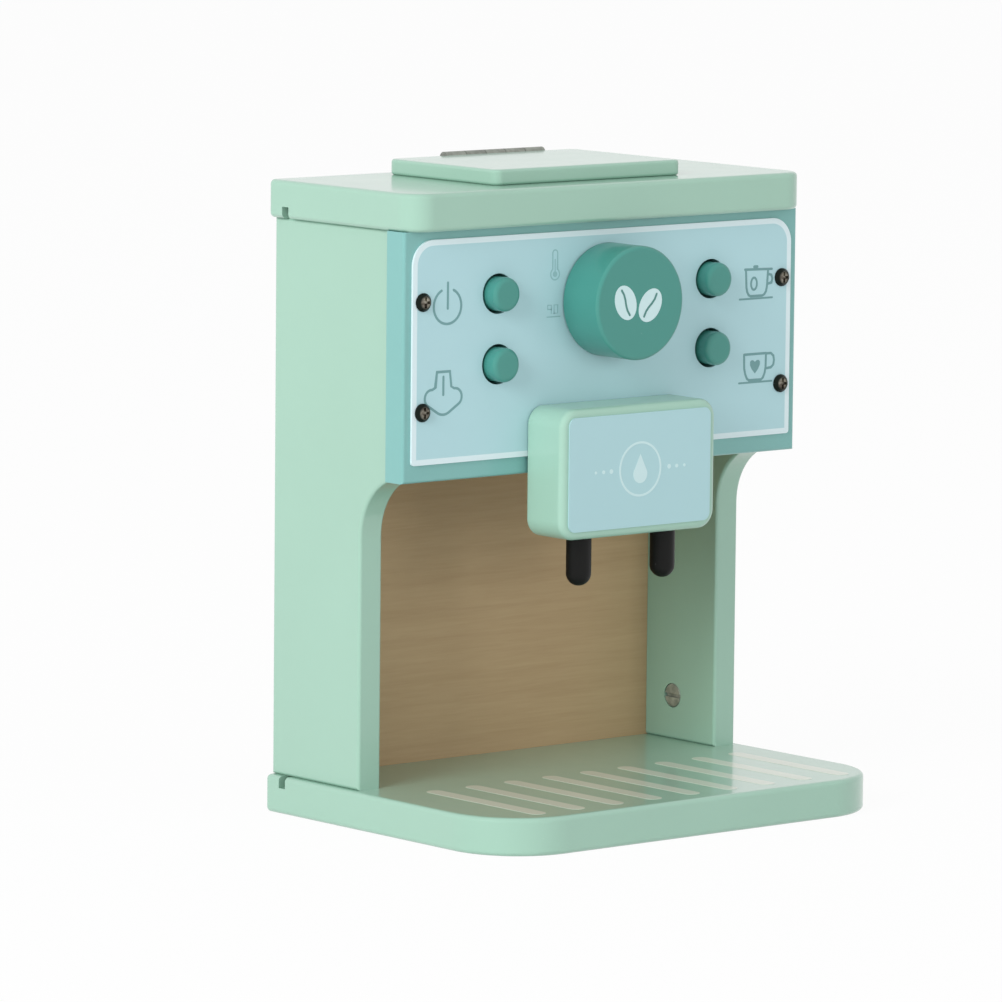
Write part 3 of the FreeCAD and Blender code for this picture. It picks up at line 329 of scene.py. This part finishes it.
# %% Make the printed sheets
def printed_sheet(name, node, ground, line, top_radius, bottom_radius, line_width):
    low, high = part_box(node)
    material, tree, shader = new_material(name)
    edge = use_group(tree, BORDER_LINE, {
        "Half Width": (high[0] - low[0]) / 2, "Half Height": (high[2] - low[2]) / 2,
        "Middle X": (high[0] + low[0]) / 2, "Middle Z": (high[2] + low[2]) / 2,
        "Top Radius": top_radius, "Bottom Radius": bottom_radius, "Line Width": line_width})
    ink = blend_colours(tree, edge.outputs["Border"], ground, line)
    skin = use_group(tree, PAINT_SKIN, {"Colour": ink, "Cloud": 0.04, "Roughness": 0.46})
    tree.links.new(skin.outputs["Colour"], shader.inputs["Base Color"])
    tree.links.new(skin.outputs["Roughness"], shader.inputs["Roughness"])
    bump(tree, shader, skin.outputs["Height"], 0.05, 0.0002)
    return material


PANEL_SHEET = printed_sheet("panel sheet print", "control_label", colour(172, 208, 214),
                            colour(212, 229, 233), 0.008, 0.001, 0.0017)
BREW_SHEET = printed_sheet("brew sheet print", "brew_label", colour(168, 204, 209),
                           colour(168, 204, 209), 0.0026, 0.0026, 0.0)
print("sheets:", PANEL_SHEET.name, BREW_SHEET.name)

# %% [markdown]
# ## Steel
# The screws, the hinge and the nuts are plain plated steel. Metal looks dull without something to
# break its reflection, so a fine noise changes how rough it is, and a slower noise darkens it in
# patches as handling does.

# %% Group: worn steel
tree, given, result = new_group(
    "worn steel",
    [("Bright", COLOUR, colour(190, 188, 184)), ("Dull", COLOUR, colour(110, 106, 100)),
     ("Roughness", FLOAT, 0.3)],
    [("Colour", COLOUR), ("Roughness", FLOAT), ("Height", FLOAT)])
place = add(tree, "ShaderNodeTexCoord").outputs["Object"]
patches = add(tree, "ShaderNodeTexNoise",
              {"Vector": place, "Scale": 420.0, "Detail": 4.0}).outputs[0]
scratches = add(tree, "ShaderNodeTexNoise",
                {"Vector": place, "Scale": 2600.0, "Detail": 2.0}).outputs[0]
mixed = add(tree, "ShaderNodeMapRange",
            {"Value": patches, "From Min": 0.35, "From Max": 0.65}).outputs[0]
tree.links.new(blend_colours(tree, mixed, given.outputs["Bright"], given.outputs["Dull"]),
               result.inputs["Colour"])
change = maths(tree, "MULTIPLY", maths(tree, "SUBTRACT", scratches, 0.5), 0.3)
tree.links.new(maths(tree, "ADD", change, given.outputs["Roughness"]), result.inputs["Roughness"])
tree.links.new(scratches, result.inputs["Height"])
WORN_STEEL = tree
print("group:", WORN_STEEL.name)


# %% Make steel finishes
def steel(name, bright, dull, roughness=0.32, metallic=1.0):
    material, tree, shader = new_material(name)
    metal = use_group(tree, WORN_STEEL, {"Bright": bright, "Dull": dull, "Roughness": roughness})
    tree.links.new(metal.outputs["Colour"], shader.inputs["Base Color"])
    tree.links.new(metal.outputs["Roughness"], shader.inputs["Roughness"])
    shader.inputs["Metallic"].default_value = metallic
    bump(tree, shader, metal.outputs["Height"], 0.08, 0.0001)
    return material


SCREW_STEEL = steel("screw steel", colour(150, 146, 138), colour(96, 92, 86))
NUT_STEEL = steel("zinc plated nut", colour(186, 192, 184), colour(142, 150, 142), 0.5, 0.55)
HINGE_STEEL = steel("hinge steel", colour(156, 160, 152), colour(134, 137, 130), 0.45)
SPRING_STEEL = steel("spring steel", colour(206, 206, 204), colour(150, 150, 148))
print("steel finishes made")

# %% [markdown]
# ## Panel screws with a dark rim
# The four panel screws have worn, lighter cross recesses and a dark rim. The rim is painted shade
# and painted dark reflection at the edge of each head. The distance from a screw's middle line
# gives that ring. Folding the panel once left to right and once up and down brings the four screws
# onto one, so a single material serves them all.

# %% Make the panel screw finish
# The dark rim on each head is painted shade and painted dark reflection, between these two
# distances from the screw's middle line.
PAINTED_SHADE_START, PAINTED_SHADE_END = 1.1 * MM, 2.1 * MM
PANEL_SCREW = steel("panel screw steel", colour(176, 172, 158), colour(92, 84, 76), 0.38)
tree = PANEL_SCREW.node_tree
shader = tree.nodes["Principled BSDF"]
screw_low, screw_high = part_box("panel_screw_lower_right"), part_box("panel_screw_upper_right")
centre_x = (screw_low[0][0] + screw_low[1][0]) / 2
centres_z = [(box[0][2] + box[1][2]) / 2 for box in (screw_low, screw_high)]
place = add(tree, "ShaderNodeTexCoord").outputs["Object"]
apart = add(tree, "ShaderNodeSeparateXYZ", {0: place})
off_x = maths(tree, "SUBTRACT", maths(tree, "ABSOLUTE", apart.outputs[0]), centre_x)
from_middle = maths(tree, "SUBTRACT", apart.outputs[2], sum(centres_z) / 2)
off_z = maths(tree, "SUBTRACT", maths(tree, "ABSOLUTE", from_middle),
              (centres_z[1] - centres_z[0]) / 2)
radius = maths(tree, "SQRT", maths(tree, "ADD", maths(tree, "MULTIPLY", off_x, off_x),
                                   maths(tree, "MULTIPLY", off_z, off_z)))
# Paints the edge of each head dark: painted shade and painted dark reflection, not a real
# blackening of the steel.
rim = add(tree, "ShaderNodeMapRange",
          {"Value": radius, "From Min": PAINTED_SHADE_START, "From Max": PAINTED_SHADE_END}).outputs[0]
metal_colour = shader.inputs["Base Color"].links[0].from_socket
tree.links.new(blend_colours(tree, rim, metal_colour, colour(34, 40, 36)),
               shader.inputs["Base Color"])
print("screw heights in mm:", [round(z / MM, 1) for z in centres_z])

# %% [markdown]
# ## Giving the construction pieces their finishes
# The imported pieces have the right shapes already. Each one only needs its material put into its
# material slots. A short table of which pieces share a finish is easier to read than fifty lines.

# %% Finish the construction pieces
FINISHES = {
    "board_paint": BOARD_PAINT, "front_paint": FRONT_PAINT, "brew_paint": BREW_PAINT,
    "plywood": PLYWOOD, "beech": TURNED_WOOD, "label_sheet": PANEL_SHEET,
    "brew_sheet": BREW_SHEET, "knob_paint": KNOB_PAINT, "button_paint": KNOB_PAINT,
    "spout_paint": SPOUT_PAINT, "screw_steel": SCREW_STEEL, "hinge_steel": HINGE_STEEL,
    "spring_steel": SPRING_STEEL,
}
OWN_FINISH = {"hopper_tray": TRAY_WOOD, "spring_frame": TRAY_WOOD,
              "barrel_nut_left": NUT_STEEL, "barrel_nut_right": NUT_STEEL}
OWN_FINISH.update({"panel_screw_%s_%s" % (level, side): PANEL_SCREW
                   for level in ("lower", "upper") for side in ("left", "right")})
slot_of = {part["node"]: part["material_slot"] for part in frame["record"]["subparts"]}
for name, node in frame["nodes"].items():
    finish = OWN_FINISH.get(name, FINISHES[slot_of[name]])
    node.data.materials.clear()
    node.data.materials.append(finish)
print("finished pieces:", len(slot_of))

# %% [markdown]
# ## Printing as thin shapes
# A print could be a texture, but a very thin raised shape stays sharp at any distance and is easy
# to place in real sizes. Every print here is a flat drawing in two directions, u to the right and
# v upwards, that is lifted by a few hundredths of a millimetre. The back lies on the surface.

# %% Helpers for flat drawings
FILM = 0.05 * MM
LAYER_STEP = 0.06


def to_front(level):
    """Places a drawing on a plane that faces the front, at the given Y."""
    return lambda u, v, lift: (u * MM, level - lift, v * MM)


def slab(name, drawing, put, ink, body, film=FILM):
    """Turns flat shapes into one thin closed mesh. A shape is (corners, faces).

    Each shape is a hair thicker than the one before, so that crossing strokes share no face.
    """
    corners, faces = [], []
    for layer, (flat, polygons) in enumerate(drawing):
        first = len(corners)
        count = len(flat)
        thick = film * (1 + LAYER_STEP * layer)
        corners += [put(u, v, thick) for u, v in flat] + [put(u, v, 0.0) for u, v in flat]
        rim = {}
        for polygon in polygons:
            area = sum(flat[a][0] * flat[b][1] - flat[b][0] * flat[a][1]
                       for a, b in zip(polygon, polygon[1:] + polygon[:1]))
            loop = list(polygon) if area > 0 else list(polygon)[::-1]
            faces.append([first + i for i in loop])
            faces.append([first + count + i for i in loop[::-1]])
            for a, b in zip(loop, loop[1:] + loop[:1]):
                if (b, a) in rim:
                    del rim[(b, a)]
                else:
                    rim[(a, b)] = True
        for a, b in rim:
            faces.append([first + a, first + count + a, first + count + b, first + b])
    mesh = bpy.data.meshes.new(name)
    mesh.from_pydata(corners, [], faces)
    mesh.validate()
    piece = bpy.data.objects.new(name, mesh)
    bpy.context.collection.objects.link(piece)
    mesh.materials.append(ink)
    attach(piece, body)
    return piece


def arc(cu, cv, radius, start, end, steps=28):
    """Points on an arc, from one angle to another in degrees."""
    return [(cu + radius * math.cos(math.radians(start + (end - start) * i / steps)),
             cv + radius * math.sin(math.radians(start + (end - start) * i / steps)))
            for i in range(steps + 1)]


def stroke(points, width, closed=False):
    """A line of even width along points, with round ends."""
    count = len(points)
    sides = []
    for i in range(count):
        before = points[i - 1] if closed or i else points[0]
        after = points[(i + 1) % count] if closed or i < count - 1 else points[-1]
        run = Vector((after[0] - before[0], after[1] - before[1])).normalized()
        nearest = Vector((points[i][0] - before[0], points[i][1] - before[1]))
        lean = max(0.6, abs(nearest.normalized().dot(run))) if nearest.length > 1e-9 else 1.0
        out = Vector((-run.y, run.x)) * width / 2 / lean
        sides.append(((points[i][0] + out.x, points[i][1] + out.y),
                      (points[i][0] - out.x, points[i][1] - out.y)))
    flat = [corner for pair in sides for corner in pair]
    pairs = count if closed else count - 1
    faces = [[2 * i, 2 * i + 1, (2 * i + 3) % (2 * count), (2 * i + 2) % (2 * count)]
             for i in range(pairs)]
    if not closed:
        for end, turned in ((0, 1), (count - 1, -1)):
            neighbour = points[1] if end == 0 else points[-2]
            away = math.degrees(math.atan2(points[end][1] - neighbour[1],
                                           points[end][0] - neighbour[0]))
            cap = arc(points[end][0], points[end][1], width / 2, away - 90, away + 90, 6)[1:-1]
            start = len(flat)
            flat += cap
            ring = list(range(start, start + len(cap)))
            left, right_side = 2 * end, 2 * end + 1
            faces.append([left] + ring + [right_side] if turned == 1
                         else [right_side] + ring + [left])
    return flat, faces


def patch(points):
    """A filled shape with the given outline."""
    return points, [list(range(len(points)))]


def oval(cu, cv, long_half, short_half, lean, steps=32):
    """An ellipse whose long axis leans from the vertical, to the right for a positive angle."""
    angle = math.radians(lean)
    ring = []
    for i in range(steps):
        t = 2 * math.pi * i / steps
        across, along = short_half * math.cos(t), long_half * math.sin(t)
        ring.append((cu + across * math.cos(angle) + along * math.sin(angle),
                     cv - across * math.sin(angle) + along * math.cos(angle)))
    return ring


print("film thickness %.2f mm" % (FILM / MM))

# %% [markdown]
# ## Inks
# The signs are printed in a grey-green ink, those beside the dial in a fainter one, and the bars on
# the base and the drawings on the dial and the brew head in pale ones. Screen-printed ink lies in a
# slightly uneven film, so the inks use the paint skin, most with more cloud than the boards have.

# %% Make the inks
MATT = {"roughness": 0.5, "coat": 0.0}
SIGN_INK = painted("grey-green sign ink", colour(108, 150, 152), cloud=0.35, **MATT)
FAINT_INK = painted("faint sign ink", colour(142, 182, 186), cloud=0.3, **MATT)
PALE_INK = painted("pale ink", colour(196, 222, 224), cloud=0.1, **MATT)
SLIT_INK = painted("dial slit ink", colour(76, 128, 122), cloud=0.1, **MATT)
BAR_INK = painted("bar ink", colour(206, 214, 200), roughness=0.36, cloud=0.2, coat=0.5)
panel_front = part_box("control_label")[0][1]
on_panel = to_front(panel_front)
print("panel face at y = %.2f mm" % (panel_front / MM))

# %% [markdown]
# ## Signs left of the dial
# Two round buttons stand left of the dial, one for power and one for steam. The power sign is a
# ring that is open at the top with a short bar in the gap. The steam sign is a nozzle that widens
# into a small cloud. Each is only a few strokes, and all strokes have the same width.

# %% Print the signs of the left buttons
LINE, THIN_LINE = 0.8, 0.6
power_sign = [stroke(arc(-64.6, 165.9, 5.5, 116, 424, 44), LINE),
              stroke([(-64.5, 165.2), (-64.5, 173.2)], LINE)]
slab("power_sign", power_sign, on_panel, SIGN_INK, "housing")

nozzle = ([(-68.6, 145.6), (-63.4, 145.6), (-62.8, 140.8)] + arc(-61.3, 137.5, 2.7, 96, -52, 14)
          + arc(-66.0, 136.6, 4.4, -58, -122, 12) + arc(-70.7, 137.5, 2.7, 232, 84, 14)
          + [(-69.2, 140.8)])
steam_sign = [stroke(nozzle, LINE, closed=True), stroke([(-66.0, 144.0), (-66.0, 138.4)], LINE)]
slab("steam_sign", steam_sign, on_panel, SIGN_INK, "housing")
print("strokes:", len(power_sign) + len(steam_sign))

# %% [markdown]
# ## Signs right of the dial
# A pot with a bean on it stands for a large coffee and a cup with a heart for a small one. Both
# stand on a thin saucer line. A handle is half a ring on the right side.

# %% Print the signs of the right buttons
pot = [stroke([(59.1, 170.4), (59.4, 165.0), (59.8, 163.4), (60.4, 162.5), (61.2, 162.1),
               (66.2, 162.1), (67.1, 162.5), (67.8, 163.4), (68.2, 165.0), (68.6, 170.2)], LINE),
       stroke([(58.7, 170.8), (70.2, 170.5)], LINE),
       stroke([(62.7, 171.5), (63.9, 171.5)], 1.0),
       stroke([(68.7, 168.9), (70.0, 168.6), (70.5, 167.4), (70.1, 166.1), (68.5, 165.8)], LINE),
       stroke(oval(62.6, 166.1, 1.95, 1.25, 0, 24), 0.7, closed=True),
       stroke([(56.5, 161.3), (70.5, 161.3)], THIN_LINE)]
slab("pot_sign", pot, on_panel, SIGN_INK, "housing")

heart = [(0.0, -2.6), (1.3, -1.2), (2.1, 0.2), (2.1, 1.2), (1.6, 1.7), (0.8, 1.7), (0.0, 1.1),
         (-0.8, 1.7), (-1.6, 1.7), (-2.1, 1.2), (-2.1, 0.2), (-1.3, -1.2)]
cup = [stroke([(58.8, 143.0), (58.9, 138.9), (59.4, 137.0), (60.1, 135.6), (61.0, 135.0),
               (66.2, 135.0), (67.0, 135.6), (67.7, 137.0), (68.1, 138.9), (68.2, 143.0)], LINE),
       stroke([(58.8, 143.4), (68.2, 143.4)], LINE),
       stroke([(68.5, 143.3), (70.3, 143.3), (71.4, 142.4), (71.7, 141.0), (71.4, 139.5),
               (70.4, 138.7), (68.4, 138.5)], LINE),
       patch([(63.5 + u, 139.7 + v) for u, v in heart]),
       stroke([(56.7, 134.3), (70.7, 134.3)], THIN_LINE)]
slab("cup_sign", cup, on_panel, SIGN_INK, "housing")
print("strokes:", len(pot) + len(cup))

# %% [markdown]
# ## Signs of the dial
# A little thermometer left of the dial tells the child what it sets. Below it stands a plain number
# over a short line. The number is made of straight strokes only, in the manner of a clock display.

# %% Print the thermometer and the number
TUBE_LINE, FINE_LINE, DIGIT_LINE = 0.45, 0.4, 0.36
tube = arc(-21.1, 180.2, 1.0, 0, 180, 10) + arc(-21.1, 173.6, 1.8, 124, 416, 22)
thermometer = [stroke(tube, TUBE_LINE, closed=True),
               stroke([(-21.1, 178.2), (-21.1, 174.6)], FINE_LINE),
               patch(oval(-21.1, 173.6, 0.9, 0.9, 0, 18))]
slab("thermometer_sign", thermometer, on_panel, FAINT_INK, "housing")


def digit(figure, left, low, wide=1.5, tall=2.6):
    """A digit from straight strokes."""
    middle, top, far = low + tall / 2, low + tall, left + wide
    strokes = {
        "9": [(far, low), (far, top), (left, top), (left, middle), (far, middle)],
        "0": [(left, low), (left, top), (far, top), (far, low), (left, low)],
    }
    return stroke(strokes[figure], DIGIT_LINE)


number = [digit("9", -24.0, 161.3), digit("0", -21.4, 161.3),
          stroke([(-24.2, 160.2), (-18.9, 160.2)], FINE_LINE)]
slab("dial_number", number, on_panel, FAINT_INK, "housing")
print("number of strokes:", len(thermometer) + len(number))

# %% [markdown]
# ## Beans on the dial
# The flat face of the dial carries two pale coffee beans, each an oval with one slit along it. They
# ride on the dial, so they turn with it.

# %% Print the beans on the dial
dial_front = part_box("dial_knob")[0][1]
on_dial = to_front(dial_front)
BEANS = ((-6.2, 165.1, -24), (4.0, 163.8, 36))
BEAN_LONG, BEAN_SHORT = 5.7, 4.25
slab("dial_beans", [patch(oval(u, v, BEAN_LONG, BEAN_SHORT, lean)) for u, v, lean in BEANS],
     on_dial, PALE_INK, "dial")


def slit(u, v, lean, half=4.3, sway=0.35, width=0.75):
    """The slit of a bean, a line along its long axis that sways a little to both sides."""
    angle = math.radians(lean)
    return stroke([(u + half * t * math.sin(angle) + sway * math.sin(3 * t) * math.cos(angle),
                    v + half * t * math.cos(angle) - sway * math.sin(3 * t) * math.sin(angle))
                   for t in (-1, -0.6, -0.2, 0.2, 0.6, 1)], width)


slab("dial_slits", [slit(*bean) for bean in BEANS], to_front(dial_front - FILM), SLIT_INK,
     "dial", film=0.6 * FILM)
print("dial face at y = %.2f mm" % (dial_front / MM))

# %% [markdown]
# ## A drop on the brew head
# The small sheet on the brew head carries a plain drawing: one falling drop in a ring, with a short
# row of dots on either side. A drop is an arc whose ends meet in a point.

# %% Print the drop on the brew head
brew_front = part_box("brew_label")[0][1]


def drop(u, v, size):
    """A round drop with its point upwards."""
    return patch(arc(u, v, size, -218, 38, 24) + [(u, v + size * 2.2)])


RING_HEIGHT, RING_RADIUS, RING_LINE = 112.4, 8.4, 0.7
DOTS = ((12.0, 0.75), (15.2, 0.63), (18.4, 0.51))
ring = arc(0.0, RING_HEIGHT, RING_RADIUS, 0, 360 - 360 / 48, 47)
drawing = [drop(0.0, RING_HEIGHT - 1.6, 2.9), stroke(ring, RING_LINE, closed=True)]
drawing += [patch(oval(side * away, RING_HEIGHT, size, size, 0, 16))
            for side in (-1, 1) for away, size in DOTS]
slab("brew_drawing", drawing, to_front(brew_front), PALE_INK, "housing")
print("brew sheet face at y = %.2f mm" % (brew_front / MM))

# %% [markdown]
# ## Bars on the base board with Geometry Nodes
# The base board carries a row of pale printed bars that stand for a drip grille. They repeat, so
# Geometry Nodes are the right tool: a line of points, one rounded bar on each point, and inputs for
# count, pitch and size. The bar is a rectangle curve with filleted corners that is filled and
# pushed up a little. The tree ends in Realize Instances and Set Material, and the result is turned
# into a plain mesh, because the exported model keeps no instances.

# %% Helpers for Geometry Nodes
def new_geometry_tree(name, inputs):
    """Makes a Geometry Nodes tree that gives one mesh. Inputs are as in new_group."""
    tree = bpy.data.node_groups.new(name, "GeometryNodeTree")
    for label, kind, start in inputs:
        socket = tree.interface.new_socket(name=label, in_out="INPUT", socket_type=kind)
        socket.default_value = start
    tree.interface.new_socket(name="Mesh", in_out="OUTPUT", socket_type="NodeSocketGeometry")
    return tree, tree.nodes.new("NodeGroupInput"), tree.nodes.new("NodeGroupOutput")


def grow(name, tree, values, body, offset=(0, 0, 0)):
    """Runs a tree with the given inputs and keeps the result as a plain mesh at the offset."""
    seed = bpy.data.objects.new(name + "_seed", bpy.data.meshes.new(name + "_seed"))
    bpy.context.collection.objects.link(seed)
    modifier = seed.modifiers.new("grow", "NODES")
    modifier.node_group = tree
    for item in tree.interface.items_tree:
        if item.item_type == "SOCKET" and item.in_out == "INPUT" and item.name in values:
            modifier[item.identifier] = values[item.name]
    seed.update_tag()
    graph = bpy.context.evaluated_depsgraph_get()
    graph.update()
    mesh = bpy.data.meshes.new_from_object(seed.evaluated_get(graph), depsgraph=graph)
    mesh.transform(Matrix.Translation(Vector(offset)))
    seed.modifiers.remove(modifier)
    bpy.data.objects.remove(seed)
    piece = bpy.data.objects.new(name, mesh)
    bpy.context.collection.objects.link(piece)
    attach(piece, body)
    print(name, "has", len(mesh.polygons), "faces")
    return piece


# %% Tree: rounded bars in a row
INTEGER, LENGTH = "NodeSocketInt", "NodeSocketFloat"
tree, given, result = new_geometry_tree("printed bars", [
    ("Count", INTEGER, 9), ("Pitch", LENGTH, 0.0158), ("Bar Width", LENGTH, 0.0044),
    ("Bar Length", LENGTH, 0.054), ("Film", LENGTH, 0.00006)])
outline = add(tree, "GeometryNodeCurvePrimitiveQuadrilateral",
              {"Width": given.outputs["Bar Width"], "Height": given.outputs["Bar Length"]})
rounded = add(tree, "GeometryNodeFilletCurve", mode="POLY")
tree.links.new(outline.outputs[0], rounded.inputs["Curve"])
rounded.inputs["Count"].default_value = 8
tree.links.new(maths(tree, "MULTIPLY", given.outputs["Bar Width"], 0.49), rounded.inputs["Radius"])
filled = add(tree, "GeometryNodeFillCurve", mode="NGONS")
tree.links.new(rounded.outputs[0], filled.inputs["Curve"])
raised = add(tree, "GeometryNodeExtrudeMesh", {"Offset Scale": given.outputs["Film"]}, mode="FACES")
raised.inputs["Individual"].default_value = False
tree.links.new(filled.outputs[0], raised.inputs["Mesh"])
under = add(tree, "GeometryNodeFlipFaces")
tree.links.new(filled.outputs[0], under.inputs[0])
closed = tree.nodes.new("GeometryNodeJoinGeometry")
tree.links.new(raised.outputs["Mesh"], closed.inputs[0])
tree.links.new(under.outputs[0], closed.inputs[0])
welded = add(tree, "GeometryNodeMergeByDistance", {"Distance": 0.000001})
tree.links.new(closed.outputs[0], welded.inputs["Geometry"])
step = add(tree, "ShaderNodeCombineXYZ", {0: given.outputs["Pitch"]}).outputs[0]
reach = maths(tree, "MULTIPLY", maths(tree, "SUBTRACT", given.outputs["Count"], 1.0),
              maths(tree, "MULTIPLY", given.outputs["Pitch"], -0.5))
start = add(tree, "ShaderNodeCombineXYZ", {0: reach}).outputs[0]
row = add(tree, "GeometryNodeMeshLine", {"Count": given.outputs["Count"], "Start Location": start,
                                         "Offset": step}, mode="OFFSET")
copies = add(tree, "GeometryNodeInstanceOnPoints")
tree.links.new(row.outputs[0], copies.inputs["Points"])
tree.links.new(welded.outputs[0], copies.inputs["Instance"])
real = add(tree, "GeometryNodeRealizeInstances")
tree.links.new(copies.outputs[0], real.inputs[0])
inked = add(tree, "GeometryNodeSetMaterial", {"Material": BAR_INK})
tree.links.new(real.outputs[0], inked.inputs["Geometry"])
tree.links.new(inked.outputs[0], result.inputs["Mesh"])
BAR_TREE = tree
print("tree:", BAR_TREE.name)

# %% Print the bars
base_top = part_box("base_plate")[1][2]
BAR_MIDDLE = (2.8 * MM, -25.2 * MM, base_top)
grow("printed_bars", BAR_TREE, {"Count": 9, "Pitch": 15.8 * MM, "Bar Width": 5.8 * MM,
                                "Bar Length": 54.8 * MM, "Film": 0.06 * MM},
     "housing", BAR_MIDDLE)

# %% [markdown]
# ## Coil springs with Geometry Nodes
# Each button is pushed back by a small steel spring, which sits behind the panel between the
# button's flange and a wooden frame. A spring follows a path, so it is a wire swept along a spiral.
# The construction model has only a plain tube there, which this piece replaces.

# %% Tree: coil spring
tree, given, result = new_geometry_tree("coil spring", [
    ("Turns", LENGTH, 6.0), ("Coil Radius", LENGTH, 0.0038), ("Wire Radius", LENGTH, 0.0004),
    ("Free Length", LENGTH, 0.0097)])
path = add(tree, "GeometryNodeCurveSpiral",
           {"Resolution": 24, "Rotations": given.outputs["Turns"],
            "Start Radius": given.outputs["Coil Radius"],
            "End Radius": given.outputs["Coil Radius"],
            "Height": given.outputs["Free Length"]})
wire = add(tree, "GeometryNodeCurvePrimitiveCircle", {"Resolution": 8}, mode="RADIUS")
tree.links.new(given.outputs["Wire Radius"], wire.inputs["Radius"])
swept = add(tree, "GeometryNodeCurveToMesh", {"Fill Caps": True})
tree.links.new(path.outputs[0], swept.inputs["Curve"])
tree.links.new(wire.outputs[0], swept.inputs["Profile Curve"])
laid = add(tree, "GeometryNodeTransform")
laid.inputs["Rotation"].default_value = (math.radians(-90), 0, 0)
tree.links.new(swept.outputs[0], laid.inputs["Geometry"])
smooth = add(tree, "GeometryNodeSetShadeSmooth")
tree.links.new(laid.outputs[0], smooth.inputs["Geometry"])
real = add(tree, "GeometryNodeRealizeInstances")
tree.links.new(smooth.outputs[0], real.inputs[0])
plated = add(tree, "GeometryNodeSetMaterial", {"Material": SPRING_STEEL})
tree.links.new(real.outputs[0], plated.inputs["Geometry"])
tree.links.new(plated.outputs[0], result.inputs["Mesh"])
SPRING_TREE = tree
print("tree:", SPRING_TREE.name)

# %% Wind the springs
WIRE_RADIUS, TRAVEL, TURNS = 0.4 * MM, 3.0 * MM, 6.0
for key in ("power", "steam", "pot", "cup"):
    low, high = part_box(key + "_spring")
    length = high[1] - low[1]
    coil = grow(key + "_coil", SPRING_TREE,
                {"Turns": TURNS, "Coil Radius": (high[0] - low[0]) / 2 - WIRE_RADIUS,
                 "Wire Radius": WIRE_RADIUS, "Free Length": length - 2.2 * WIRE_RADIUS},
                "housing",
                ((low[0] + high[0]) / 2, low[1] + 1.1 * WIRE_RADIUS, (low[2] + high[2]) / 2))
    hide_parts(key + "_spring")
    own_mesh(coil)

# %% [markdown]
# ## Floor and light
# The toy stands on a plain pale floor under soft studio light. The floor looks white to the camera
# through its material, not through more light, and still takes a soft shadow. A large soft lamp on
# the left makes the left side the brightest, as on the photograph. A weak one on the right keeps
# the front readable, and a low one in front lights the back of the bay. The lamps are kept out of
# reflections, so that the shiny boards don't turn white at flat angles. The world adds even light.

# %% Lay the floor
floor_mesh = bpy.data.meshes.new("floor")
FLOOR_HALF, WHITE_SHARE = 14.0, 0.95
floor_mesh.from_pydata([(-FLOOR_HALF, -FLOOR_HALF, 0), (FLOOR_HALF, -FLOOR_HALF, 0),
                        (FLOOR_HALF, FLOOR_HALF, 0), (-FLOOR_HALF, FLOOR_HALF, 0)], [],
                       [(0, 1, 2, 3)])
floor = bpy.data.objects.new("floor", floor_mesh)
bpy.context.collection.objects.link(floor)
material, tree, shader = new_material("pale floor")
shader.inputs["Base Color"].default_value = (0.86, 0.86, 0.86, 1)
shader.inputs["Roughness"].default_value = 0.9
light_path = tree.nodes.new("ShaderNodeLightPath")
seen = maths(tree, "MAXIMUM", light_path.outputs["Is Camera Ray"],
             maths(tree, "MAXIMUM", light_path.outputs["Is Glossy Ray"],
                   light_path.outputs["Is Transmission Ray"]))
white = add(tree, "ShaderNodeEmission", {"Color": (1, 1, 1, 1), "Strength": 1.0})
mix = add(tree, "ShaderNodeMixShader", {0: maths(tree, "MULTIPLY", seen, WHITE_SHARE)})
tree.links.new(shader.outputs[0], mix.inputs[1])
tree.links.new(white.outputs[0], mix.inputs[2])
tree.links.new(mix.outputs[0], tree.nodes["Material Output"].inputs["Surface"])
floor_mesh.materials.append(material)
print("floor: %.0f m wide" % (2 * FLOOR_HALF))

# %% Light the world
AMBIENT = 0.52
world = bpy.data.worlds.new("studio")
bpy.context.scene.world = world
world.use_nodes = True
tree = world.node_tree
tree.nodes.clear()
light_path = tree.nodes.new("ShaderNodeLightPath")
seen = maths(tree, "MAXIMUM", light_path.outputs["Is Camera Ray"],
             maths(tree, "MAXIMUM", light_path.outputs["Is Glossy Ray"],
                   light_path.outputs["Is Transmission Ray"]))
ambient = add(tree, "ShaderNodeBackground", {"Color": (1, 1, 1, 1), "Strength": AMBIENT})
backdrop = add(tree, "ShaderNodeBackground", {"Color": (1, 1, 1, 1), "Strength": 1.0})
mix = add(tree, "ShaderNodeMixShader", {0: seen})
tree.links.new(ambient.outputs[0], mix.inputs[1])
tree.links.new(backdrop.outputs[0], mix.inputs[2])
output = tree.nodes.new("ShaderNodeOutputWorld")
tree.links.new(mix.outputs[0], output.inputs["Surface"])
print("ambient light: %.2f" % AMBIENT)


# %% Set the lamps
def soft_lamp(name, place, size, power):
    """A square lamp that faces the middle of the toy. Shiny paint doesn't mirror it."""
    data = bpy.data.lights.new(name, "AREA")
    data.shape = "SQUARE"
    data.size = size
    data.energy = power
    lamp = bpy.data.objects.new(name, data)
    aim = Vector((0, 0, 0.1)) - Vector(place)
    lamp.rotation_euler = aim.to_track_quat("-Z", "Y").to_euler()
    lamp.location = place
    lamp.visible_glossy = False
    bpy.context.collection.objects.link(lamp)


soft_lamp("lamp_left", (-2.7, -0.6, 1.3), 1.6, 72)
soft_lamp("lamp_right", (1.8, -2.4, 1.6), 1.4, 5)
soft_lamp("lamp_low_front", (0.2, -2.6, 0.55), 1.0, 12)
